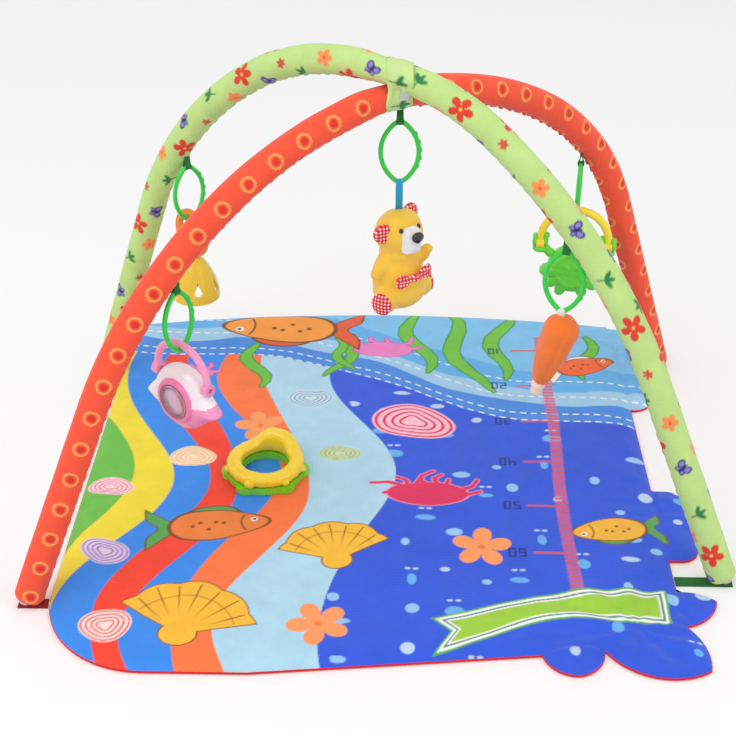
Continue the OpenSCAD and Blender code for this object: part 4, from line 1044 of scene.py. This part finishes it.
def make_tape(place):
    """Webbing from inside the sleeve's seam, down round the link's wire and back up."""
    top = link_top(place)
    sewn_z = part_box("loop_" + place)[1][2] / MM
    hole, rise = WIRE_R + 0.8, max(sewn_z - top[2] + (8 if place == "centre" else 1.5), 10)
    path = [(-0.9, rise)]
    for k in range(17):
        turn = math.radians(122 + 296 * k / 16)
        path.append((hole * math.cos(turn), 0.5 + hole * math.sin(turn)))
    path.append((0.9, rise))
    rows = []
    for share in np.linspace(-1, 1, 7):
        for y, z in path:
            gather = 1 - 0.12 * max(0, z / rise)
            rows.append((share * TAPE_HALF * gather, y * (1 + 0.05 * math.sin(share * 5)), z))
    obj = mesh_object("tape_" + place, placed(rows, top, TOYS[place]), grid_faces(7, len(path), False))
    thicken(obj, 1.2, 0)
    finish_piece(obj, tape_cloth, "arches", "loop_" + place)


for toy_place in TOYS:
    make_link(toy_place)
    make_tape(toy_place)

# ---------------------------------------------------------------- bear
# A small plush bear of golden cloth over polyester filling, sewn from a head, a tummy,
# arms and legs, with a white muzzle and gingham ears, foot pads and bow.
GOLD = (255, 208, 70)
HEAD_R, BODY_R = 32, 36
STRAP_L = 36
BEAR_TURN = 35
LEG_TURNS = (-60, 80)
EARS = ((-29, -8, 8), (19, 4, 20))
CHECK = 4.4
FILL_FRAMES = 20
head_z = -STRAP_L - HEAD_R
FACE_Z = head_z - 1
body_z = head_z - HEAD_R - BODY_R + 8
leg_z = body_z - BODY_R + 17
bear_hang = link_foot("centre")


def blob_mesh(name, balls, voxel, smooth_rounds):
    """One skin over overlapping rounded lumps, each (middle, radii, turn about Z)."""
    points, faces = [], []
    for middle, radii, turn in balls:
        shape = bmesh.new()
        bmesh.ops.create_icosphere(shape, subdivisions=4, radius=1)
        base = len(points)
        spin = Matrix.Rotation(math.radians(turn), 3, "Z")
        for spot in shape.verts:
            stretched = Vector(spot.co[k] * radii[k] for k in range(3))
            points.append(tuple(spin @ stretched + Vector(middle)))
        faces += [[base + corner.index for corner in face.verts] for face in shape.faces]
        shape.free()
    obj = mesh_object(name, points, faces)
    remesh = obj.modifiers.new("skin", "REMESH")
    remesh.mode = "VOXEL"
    remesh.voxel_size = voxel * MM
    ease = obj.modifiers.new("ease", "SMOOTH")
    ease.iterations = smooth_rounds
    apply_modifiers(obj)
    return obj


def apply_modifiers(obj):
    graph = bpy.context.evaluated_depsgraph_get()
    data = bpy.data.meshes.new_from_object(obj.evaluated_get(graph))
    obj.modifiers.clear()
    obj.data = data
    data.polygons.foreach_set("use_smooth", [True] * len(data.polygons))


def point_places(obj):
    flat = np.empty(len(obj.data.vertices) * 3)
    obj.data.vertices.foreach_get("co", flat)
    return flat.reshape(-1, 3)


def move_points(obj, places):
    obj.data.vertices.foreach_set("co", places.ravel())
    obj.data.update()


def stuff(obj, pressure, cap):
    """Blows the cloth skin up with its filling, no point moving further than cap millimetres."""
    before = point_places(obj)
    fabric = obj.modifiers.new("filling", "CLOTH")
    fabric.settings.use_pressure = True
    fabric.settings.uniform_pressure_force = pressure
    fabric.settings.effector_weights.gravity = 0
    fabric.settings.quality = 4
    fabric.settings.tension_stiffness = 25
    fabric.settings.mass = 0.15
    fabric.point_cache.frame_start = 1
    fabric.point_cache.frame_end = FILL_FRAMES
    for step in range(1, FILL_FRAMES + 1):
        bpy.context.scene.frame_set(step)
    apply_modifiers(obj)
    bpy.context.scene.frame_set(1)
    move = point_places(obj) - before
    length = np.linalg.norm(move, axis=1)
    move *= np.minimum(1, cap * MM / np.maximum(length, 1e-9))[:, None]
    move_points(obj, before + move)


def reshape(obj, change):
    """Moves every point of a mesh by a function of all points in millimetres."""
    move_points(obj, change(point_places(obj) / MM) * MM)


def subdivide(obj):
    finer = obj.modifiers.new("finer", "SUBSURF")
    finer.levels = 1
    finer.render_levels = 1


def gingham(name, heading):
    """Red and white checked cotton, its checks square to the heading."""
    material, tree, shader = new_material(name)
    place = add_node(tree, "TexCoord", {})
    turn = add_node(tree, "Mapping", {"Rotation": (0, 0, -math.radians(heading)),
                                      "Scale": [1 / (CHECK * MM)] * 3,
                                      "Vector": place.outputs["Object"]})
    axes = add_node(tree, "SeparateXYZ", {"Vector": turn.outputs["Vector"]})
    total = 0.0
    for axis in ("X", "Z"):
        cycle = add_node(tree, "Math", {0: axes.outputs[axis]}, operation="FRACT")
        band = add_node(tree, "Math", {0: cycle.outputs[0], 1: 0.42}, operation="GREATER_THAN")
        total = add_node(tree, "Math", {0: total, 1: band.outputs[0]}, operation="ADD").outputs[0]
    half = add_node(tree, "Math", {0: total, 1: 0.5}, operation="MULTIPLY")
    dye = add_node(tree, "ValToRGB", {"Fac": half.outputs[0]})
    ramp = dye.color_ramp
    ramp.interpolation = "CONSTANT"
    ramp.elements[0].color = rgba((252, 240, 240))
    ramp.elements[1].position = 0.25
    ramp.elements[1].color = rgba((242, 90, 92))
    ramp.elements.new(0.75).color = rgba((222, 28, 46))
    feed(tree, shader, {"Base Color": tinted(tree, dye.outputs["Color"], 0.04),
                        "Roughness": 0.85, "Sheen Weight": 0.2})
    add_bump(tree, shader, weave_height(tree, 900), 0.3, 0.0004)
    return material


def plush(name, colour):
    """Short brushed cloth with a soft nap."""
    material, tree, shader = new_material(name)
    feed(tree, shader, {"Base Color": tinted(tree, colour, 0.05), "Roughness": blotch(tree, 120, 0.82, 0.95),
                        "Sheen Weight": 0.35, "Sheen Roughness": 0.5})
    add_bump(tree, shader, blotch(tree, 1400, 0, 1, 3), 0.35, 0.0006)
    return material


def on_bear(points):
    return placed(points, bear_hang, BEAR_TURN)

def make_bear_body():
    balls = [((0, 0, head_z), (31, 29, 30), 0), ((0, -4, head_z + 12), (26, 22, 20), 0),
             ((0, 0, body_z), (34, 32, 38), 0), ((0, -2, body_z - 16), (35, 33, 26), 0),
             ((0, -1, (head_z + body_z) / 2 + 2), (27, 25, 18), 0)]
    for side in (-1, 1):
        lean = math.radians(LEG_TURNS[side > 0])
        for reach, size in ((22, 17), (30, 16.5), (36, 16) if side < 0 else (30, 17)):
            balls.append(((math.sin(lean) * reach, -math.cos(lean) * reach, leg_z), (size, size, size), 0))
    # One arm hangs out to the side, the other is raised beside the chin.
    for elbow, hand in (((-30, -6, 22), (-39, -8, 15)), ((26, -14, 28), (31, -19, 35))):
        balls.append(((elbow[0], elbow[1], body_z + elbow[2]), (12, 9, 10), 0))
        balls.append(((hand[0], hand[1], body_z + hand[2]), (8, 7.5, 8.5), 0))
    obj = blob_mesh("bear_plush", balls, voxel=2.6, smooth_rounds=5)
    stuff(obj, pressure=3.5, cap=2.5)

    def sew(points):
        """Draws the skin in along the neck, hip and middle seams."""
        x, y, z = points.T
        neck = np.exp(-((z - (head_z - HEAD_R + 3)) / 3.2) ** 2)
        hip = np.exp(-((z - (body_z - 12) - 0.12 * x) / 2.6) ** 2) * (y > -26)
        middle = np.exp(-(x / 1.3) ** 2) * (z < head_z - HEAD_R)
        tuck = 1 - 0.055 * neck - 0.035 * hip - 0.018 * middle
        return on_bear(np.stack([x * tuck, y * tuck, z], axis=1))

    reshape(obj, sew)
    subdivide(obj)
    finish_piece(obj, plush("bear_velour", GOLD), "bear", "bear_body")


def make_muzzle():
    rows, columns = 15, 15
    half_w, half_h = 13.5, 18.5
    points = []
    for v in np.linspace(-1, 1, rows):
        for u in np.linspace(-1, 1, columns):
            square = max(abs(u), abs(v))
            fit = 1 / (abs(u) ** 3.2 + abs(v) ** 3.2) ** (1 / 3.2) if square > 0 else 1
            x, z = u * half_w * min(1, fit), v * half_h * min(1, fit)
            edge = min(1, square ** 4)
            out = 39 - 12 * edge - 2.5 * (x / half_w) ** 2 - 2.0 * (z / half_h) ** 2
            points.append((x, -out, FACE_Z + z))
    obj = mesh_object("bear_snout", on_bear(points), grid_faces(rows, columns, False))
    subdivide(obj)
    finish_piece(obj, plush("snout_velour", (246, 246, 250)), "bear", "bear_muzzle")


def make_nose_and_eyes():
    lumps = [((0, -40.5, FACE_Z + 10), (8.5, 5, 6.8), 0), ((0, -40, FACE_Z + 7), (5, 4.4, 5.5), 0)]
    nose = blob_mesh("bear_nose_bead", lumps, voxel=0.8, smooth_rounds=3)
    reshape(nose, on_bear)
    finish_piece(nose, plastic("nose_plastic", (26, 26, 34), rough=0.16, coat=0.8), "bear", "bear_nose")
    beads = []
    for side in (-1, 1):
        lean = math.radians(28 * side)
        beads.append(((math.sin(lean) * 28, -math.cos(lean) * 27, head_z + 14), (2.6, 2.6, 3.4), 0))
    eyes = blob_mesh("bear_eye_beads", beads, voxel=0.6, smooth_rounds=2)
    reshape(eyes, on_bear)
    finish_piece(eyes, plastic("eye_plastic", (22, 20, 26), rough=0.14, coat=0.8), "bear", "bear_eyes")


def make_gingham_bits():
    checked = gingham("gingham_cotton", BEAR_TURN)
    ears = [((x, y, head_z + z), (13, 7, 13), x * 0.6) for x, y, z in EARS]
    obj = blob_mesh("bear_gingham_ears", ears, voxel=1.6, smooth_rounds=3)

    def cup(points):
        x, y, z = points.T
        near = np.min([np.hypot(x - ear_x, z - head_z - ear_z) for ear_x, _, ear_z in EARS], axis=0)
        return on_bear(np.stack([x, y + 3.2 * np.exp(-(near / 6) ** 2) * (y < 3), z], axis=1))

    reshape(obj, cup)
    finish_piece(obj, checked, "bear", "bear_ears")
    pads = []
    for side in (-1, 1):
        lean = math.radians(LEG_TURNS[side > 0])
        reach, size = (48.5, 15.5) if side < 0 else (43.5, 12)
        spot = (math.sin(lean) * reach, -math.cos(lean) * reach, leg_z)
        pads.append((spot, (size - 1.5, 4.5, size), LEG_TURNS[side > 0]))
    obj = blob_mesh("bear_sole_patches", pads, voxel=1.4, smooth_rounds=3)
    reshape(obj, on_bear)
    finish_piece(obj, gingham("gingham_soles", BEAR_TURN + LEG_TURNS[0]), "bear", "bear_foot_pads")
    bow_z = body_z + BODY_R * 0.35
    lumps = [((0, -38, bow_z), (5.5, 4.5, 5.5), 0)]
    for side in (-1, 1):
        for reach, tall in ((8, 5), (14, 8), (20, 10.5)):
            spot = (side * reach, -37 + reach * 0.12, bow_z + side * reach * 0.14)
            lumps.append((spot, (6.5, 3.4, tall), side * 12))
    obj = blob_mesh("bear_gingham_bow", lumps, voxel=1.2, smooth_rounds=3)

    def fold(points):
        x, y, z = points.T
        ripple = 0.8 * np.sin((z - bow_z) * 0.9) * np.clip(np.abs(x) / 8, 0, 1)
        return on_bear(np.stack([x, y + ripple, z], axis=1))

    reshape(obj, fold)
    finish_piece(obj, checked, "bear", "bear_bow")


def make_hanger(name, hang, heading, foot, half, narrowing=0.0, slant=0.0):
    """A webbing tape sewn in at foot, run up round a link's wire and back down."""
    turns = np.linspace(math.radians(212), math.radians(-32), 15)
    over = [(3.3 * math.cos(turn), -0.6 + 3.3 * math.sin(turn)) for turn in turns]
    path = [(-0.8, foot), (-0.8, -8)] + over + [(0.8, -8), (0.8, foot)]
    points = [(share * half * (1 - narrowing * (z > -6)), y + slant * share, z)
              for share in np.linspace(-1, 1, 7) for y, z in path]
    obj = mesh_object(name, placed(points, hang, heading), grid_faces(7, len(path), False))
    thicken(obj, 1.2, 0)
    return obj


def make_bear_strap():
    obj = make_hanger("bear_hanger", bear_hang, TOYS["centre"], -STRAP_L - 3, 4.4, narrowing=0.1, slant=0.2)
    finish_piece(obj, cloth("blue_webbing", (40, 170, 226), threads=700, relief=0.45), "bear", "bear_strap")


make_bear_body()
make_muzzle()
make_nose_and_eyes()
make_gingham_bits()
make_bear_strap()

# ---------------------------------------------------------------- bell
# A yellow see-through bell with teardrop windows and a loose orange ball, moulded in
# soft plastic. It swings on a thick orange grip ring that the link passes through.
refinish(plastic("bell_plastic", (255, 212, 40), rough=0.22, clear=0.15, coat=0.5, glow_through=0.15),
         "bell_dome")
refinish(plastic("grip_ring_plastic", (255, 140, 44), rough=0.3, coat=0.4), "bell_ring")
refinish(plastic("bell_ball_plastic", (240, 96, 30), rough=0.3, coat=0.4), "bell_clapper")

# ---------------------------------------------------------------- fish rattle
# A hollow rattle moulded in two halves, white above and pink below, with pointed side
# fins. Coloured beads roll in a clear drum behind a thick pink bezel.
FISH_TURN, FISH_Z = -38, -63.2
FISH_R, FISH_HALF_T, DRUM_R, WINDOW_R = 42.0, 17, 21, 20.2
fish_spot = link_foot("front_left") + np.array([0, 0, FISH_Z])


def round_toy(name, outline, inner, half_t, spot, heading, keep, squareness=2.6, swell=None):
    """A rounded hollow toy seen from its front: outline gives its radius at each turn."""
    sides, rows = 180, 41
    points = []
    for i in range(rows):
        through = i / (rows - 1) * 2 - 1
        side = 1 if through > 0 else -1
        for k in range(sides):
            turn = 2 * math.pi * k / sides
            rim = outline(turn)
            reach = inner + (rim - inner) * math.sin(math.pi / 2 * (1 - abs(through)))
            depth = half_t * (1 - min(1, reach / rim) ** squareness) ** (1 / squareness)
            if swell is not None:
                depth += swell(reach, turn)
            points.append((reach * math.cos(turn), side * depth, reach * math.sin(turn)))
    points = np.array(points)
    faces = [face for face in grid_faces(rows, sides, True) if keep(points[face].mean(axis=0))]
    return mesh_object(name, placed(points, spot, heading), faces)


def fish_outline(turn):
    """Round, with a pointed fin out at each side, a little below the middle."""
    size = FISH_R
    for middle in (math.radians(-8), math.radians(188)):
        size += 17 * max(0, 1 - abs(around(turn, middle)) / 0.5) ** 1.8
    return size


def above_seam(spot):
    return spot[2] > 0.16 * spot[0] - 5


def make_shell(name, keep, material, node):
    shell = round_toy(name, fish_outline, DRUM_R, FISH_HALF_T, fish_spot, FISH_TURN, keep)
    finish_piece(shell, material, "fish", node)


def turned_part(name, profile, sides, stretch, material):
    """A round part turned about the drum's middle line from (radius, front to back) pairs."""
    points = []
    for radius, y in profile:
        for k in range(sides):
            turn = 2 * math.pi * k / sides
            points.append((radius * math.cos(turn), y, radius * stretch * math.sin(turn)))
    obj = mesh_object(name, placed(points, fish_spot, FISH_TURN), grid_faces(len(profile), sides, True))
    finish_piece(obj, material, "fish")


def make_bezel(name, way, material):
    """Thick rounded ring round one end of the drum, way -1 for the back one."""
    profile = [(20, way * 14)]
    for k in range(20):
        bend = math.pi * k / 19
        profile.append((19.6 + 8.2 * (1 - math.cos(bend)) / 2, way * (-15.5 - 3.6 * math.sin(bend))))
    profile.append((28, way * -11))
    turned_part(name, profile, 96, 1.06, material)


def make_window():
    """Clear window, a little domed, set inside the front bezel."""
    profile = [(WINDOW_R * ring / 8, -15.0 - 2.6 * (1 - (ring / 8) ** 3)) for ring in range(9)]
    clear = plastic("window_plastic", (255, 236, 246), rough=0.05, clear=0.95, coat=0.6)
    turned_part("fish_window", profile, 36, 1, clear)


make_shell("fish_white_shell", above_seam,
           plastic("white_shell_plastic", (248, 240, 246), rough=0.2, coat=0.6), "fish_back_shell")
make_shell("fish_pink_shell", lambda spot: not above_seam(spot),
           plastic("pink_shell_plastic", (250, 150, 196), rough=0.22, coat=0.6), "fish_belly_shell")
bezel_plastic = plastic("bezel_plastic", (246, 128, 182), rough=0.24, coat=0.6)
make_bezel("fish_bezel", 1, bezel_plastic)
make_bezel("fish_bezel_back", -1, bezel_plastic)
make_window()
refinish(plastic("drum_plastic", (240, 214, 226), rough=0.05, clear=0.95, coat=0.2), "fish_drum")
refinish(plastic("bead_plastic", (96, 120, 214), rough=0.2, coat=0.5), "fish_beads")
refinish(plastic("pink_handle_plastic", (250, 158, 202), rough=0.24, coat=0.5, glow_through=0.1),
         "fish_handle")

# ---------------------------------------------------------------- crab
# A hollow green crab in two welded halves, with raised claws pinned to a yellow
# carrying handle, three stub feet a side and a raised ring round its face.
CRAB_TURN, CRAB_Z = -8, -79.2
CRAB_R, CRAB_HALF_T = 35.0, 12
CRAB_GREEN = (104, 222, 40)
CLAW_LUMPS = [((39, 28), (7, 6.5, 7)), ((32, 22), (7, 6, 7)),
              ((38.6, 39), (3.6, 7.5, 10)), ((53.6, 38), (3.8, 7.5, 9.5)),
              ((46, 27), (10.5, 8, 5)), ((46, 36), (9, 2.2, 2.2)),
              ((37.5, 48), (4.2, 6, 4.4)), ((53, 46), (4.0, 6, 4.4))]
crab_spot = link_foot("back_right") + np.array([0, 0, CRAB_Z])


def crab_outline(turn):
    size = CRAB_R
    for foot in (-8, -38, -66, 188, 218, 246):
        off = abs(around(turn, math.radians(foot)))
        size += 10.5 * max(0, 1 - (off / 0.21) ** 2) ** 0.6
    return size


def crab_face(reach, turn):
    """Raised ring with two eyes in it, and a smile pressed in below them."""
    x, z = reach * math.cos(turn), reach * math.sin(turn)
    ring = 1.6 * math.exp(-((reach - 24) / 1.6) ** 2)
    eyes = sum(2.2 * math.exp(-(math.hypot(x - side * 8, z - 6) / 2.6) ** 2) for side in (-1, 1))
    smile = math.exp(-((math.hypot(x, z - 4) - 13) / 0.9) ** 2)
    return ring + eyes - 0.9 * smile * (math.sin(turn) < -0.6)


def make_crab():
    crab_plastic = plastic("crab_plastic", CRAB_GREEN, rough=0.26, coat=0.5, glow_through=0.12)
    shell = round_toy("crab_shell", crab_outline, 0.2, CRAB_HALF_T, crab_spot, CRAB_TURN,
                      lambda spot: True, squareness=3.4, swell=crab_face)
    finish_piece(shell, crab_plastic, "crab", "crab_body")
    lumps = [((side * x, 0, z), radii, 0) for side in (-1, 1) for (x, z), radii in CLAW_LUMPS]
    claws = blob_mesh("crab_claw_pair", lumps, voxel=1.1, smooth_rounds=4)
    reshape(claws, lambda points: placed(points, crab_spot, CRAB_TURN))
    finish_piece(claws, crab_plastic, "crab", "crab_claws")


make_crab()
refinish(plastic("yellow_handle_plastic", (255, 228, 44), rough=0.26, coat=0.5, glow_through=0.1),
         "crab_handle")

# ---------------------------------------------------------------- carrot
# A soft orange carrot of brushed cloth over filling, drawn in along its side seams,
# with a pale tip sewn on its point and a white tape at its top.
carrot_hang = link_foot("front_right")
CARROT_L, CARROT_R, CARROT_TILT = 122, 23, 16
carrot_top = -9.5


def carrot_reach(share):
    """The carrot's radius at a share of the way down to its tip."""
    if share < 0.2:
        return CARROT_R * math.sqrt(max(0, 1 - (1 - share / 0.2) ** 2))
    return CARROT_R * (1 - (1 - 9 / CARROT_R) * ((share - 0.2) / 0.8) ** 2.2)


def on_carrot(points):
    tilted = np.asarray(points, float) @ np.array(Matrix.Rotation(math.radians(CARROT_TILT), 3, "Y")).T
    return placed(tilted + np.array([7, 0, carrot_top + 2]), carrot_hang, TOYS["front_right"])


def make_carrot():
    length = CARROT_L - 22
    balls = []
    for share in np.linspace(0.04, 0.97, 22):
        reach = max(2, carrot_reach(share) * 0.97)
        balls.append(((0, 0, -length * share - (1 if share < 0.1 else 0)), (reach, reach, 5), 0))
    obj = blob_mesh("carrot_plush", balls, voxel=2.2, smooth_rounds=6)
    stuff(obj, pressure=3.5, cap=2.0)

    def sew(points):
        x, y, z = points.T
        turn = np.arctan2(y, x)
        seam = np.exp(-(around(turn, math.radians(-70)) / 0.12) ** 2)
        seam += np.exp(-(around(turn, math.radians(110)) / 0.12) ** 2)
        creases = 0.5 * np.sin(z / 5.5 + 2 * np.sin(turn)) * (0.5 + 0.5 * np.cos(turn + 1.2))
        creases += 0.9 * np.sin(turn * 5 + z / 40) * np.clip(-z / 20, 0, 1)
        reach = np.maximum(np.hypot(x, y), 1)
        outer = np.clip(reach / 9, 0, 1)
        tuck = 1 + (-1.6 * seam * outer + creases * 0.7) / reach * outer
        return on_carrot(np.stack([x * tuck, y * tuck, z], axis=1))

    reshape(obj, sew)
    subdivide(obj)
    finish_piece(obj, plush("carrot_velour", (252, 122, 36)), "carrot", "carrot_body")
    lumps = [((0, 0, -length - 5), (8.6, 8.6, 9), 0), ((0.8, 0, -length - 13), (7.6, 7.6, 8.4), 0)]
    tip = blob_mesh("carrot_point", lumps, voxel=1.4, smooth_rounds=4)
    reshape(tip, on_carrot)
    finish_piece(tip, plush("tip_velour", (250, 222, 206)), "carrot", "carrot_tip")
    loop = make_hanger("carrot_hanger", carrot_hang, TOYS["front_right"], carrot_top - 3, 4.3)
    webbing = cloth("white_webbing", (236, 238, 230), threads=700, relief=0.45)
    finish_piece(loop, webbing, "carrot", "carrot_loop")


make_carrot()

# ---------------------------------------------------------------- ring rattle
# A loose hand rattle: a yellow moulded ring with a tall hump at its back and a knob in
# front, snapped onto a green base whose leaves stand out all round.
RING_SPOT = np.array([-155, -34, MAT_TOP + 9])
RING_TURN = -20
RING_MID, RING_HALF = 41.5, 10.5
RING_TALL, HUMP_RISE, KNOB_RISE = 15.5, 17.5, 1.5
NOTCHES = 24


def make_ring():
    sides, sections = 220, 34
    points = []
    for i in range(sides):
        turn = 2 * math.pi * i / sides
        off_hump = abs(around(turn, math.pi / 2))
        off_knob = abs(around(turn, -math.pi / 2))
        hump = HUMP_RISE * math.exp(-(off_hump / 0.62) ** 4)
        tall = RING_TALL + hump + KNOB_RISE * math.exp(-(off_knob / 0.2) ** 2)
        notch = 0.7 * math.sin(turn * NOTCHES) * (off_hump > 0.7)
        out = 1.6 * math.exp(-(off_hump / 0.7) ** 4)
        for k in range(sections):
            a = 2 * math.pi * k / sections
            flat = math.copysign(abs(math.cos(a)) ** 0.75, math.cos(a))
            rise = math.copysign(abs(math.sin(a)) ** 0.7, math.sin(a))
            lobe = (out + 0.7 * notch) * (flat > 0.4) * (1 - abs(rise) * 0.5)
            reach = RING_MID + (RING_HALF - 0.3) * flat + lobe
            high = max(0.1, tall / 2 + tall / 2 * rise)
            points.append((reach * math.cos(turn), reach * math.sin(turn), high))
    faces = hoop_faces(sides, sections)
    obj = mesh_object("rattle_ring", placed(points, RING_SPOT, RING_TURN), faces)
    yellow = plastic("rattle_yellow_plastic", (253, 216, 26), rough=0.26, coat=0.55, glow_through=0.1)
    finish_piece(obj, yellow, "ring_rattle", "ring_rattle_top")
    bumps = [((0, -50, 6), (8, 7, 6.2), 0)]
    for lean in (-2.55, -0.6, 0.15, 3.0):
        bumps.append(((50 * math.cos(lean), 50 * math.sin(lean), 5), (6, 6, 5), 0))
    knobs = blob_mesh("rattle_knobs", bumps, voxel=1.1, smooth_rounds=3)
    reshape(knobs, lambda p: placed(p, RING_SPOT, RING_TURN))
    finish_piece(knobs, plastic("knob_plastic", (253, 208, 24), rough=0.28, coat=0.5), "ring_rattle")


make_ring()
refinish(plastic("rattle_green_plastic", (124, 214, 38), rough=0.3, coat=0.5), "ring_rattle_base")
refinish(plastic("rattle_bead_plastic", (236, 90, 40), rough=0.3), "ring_rattle_beads")
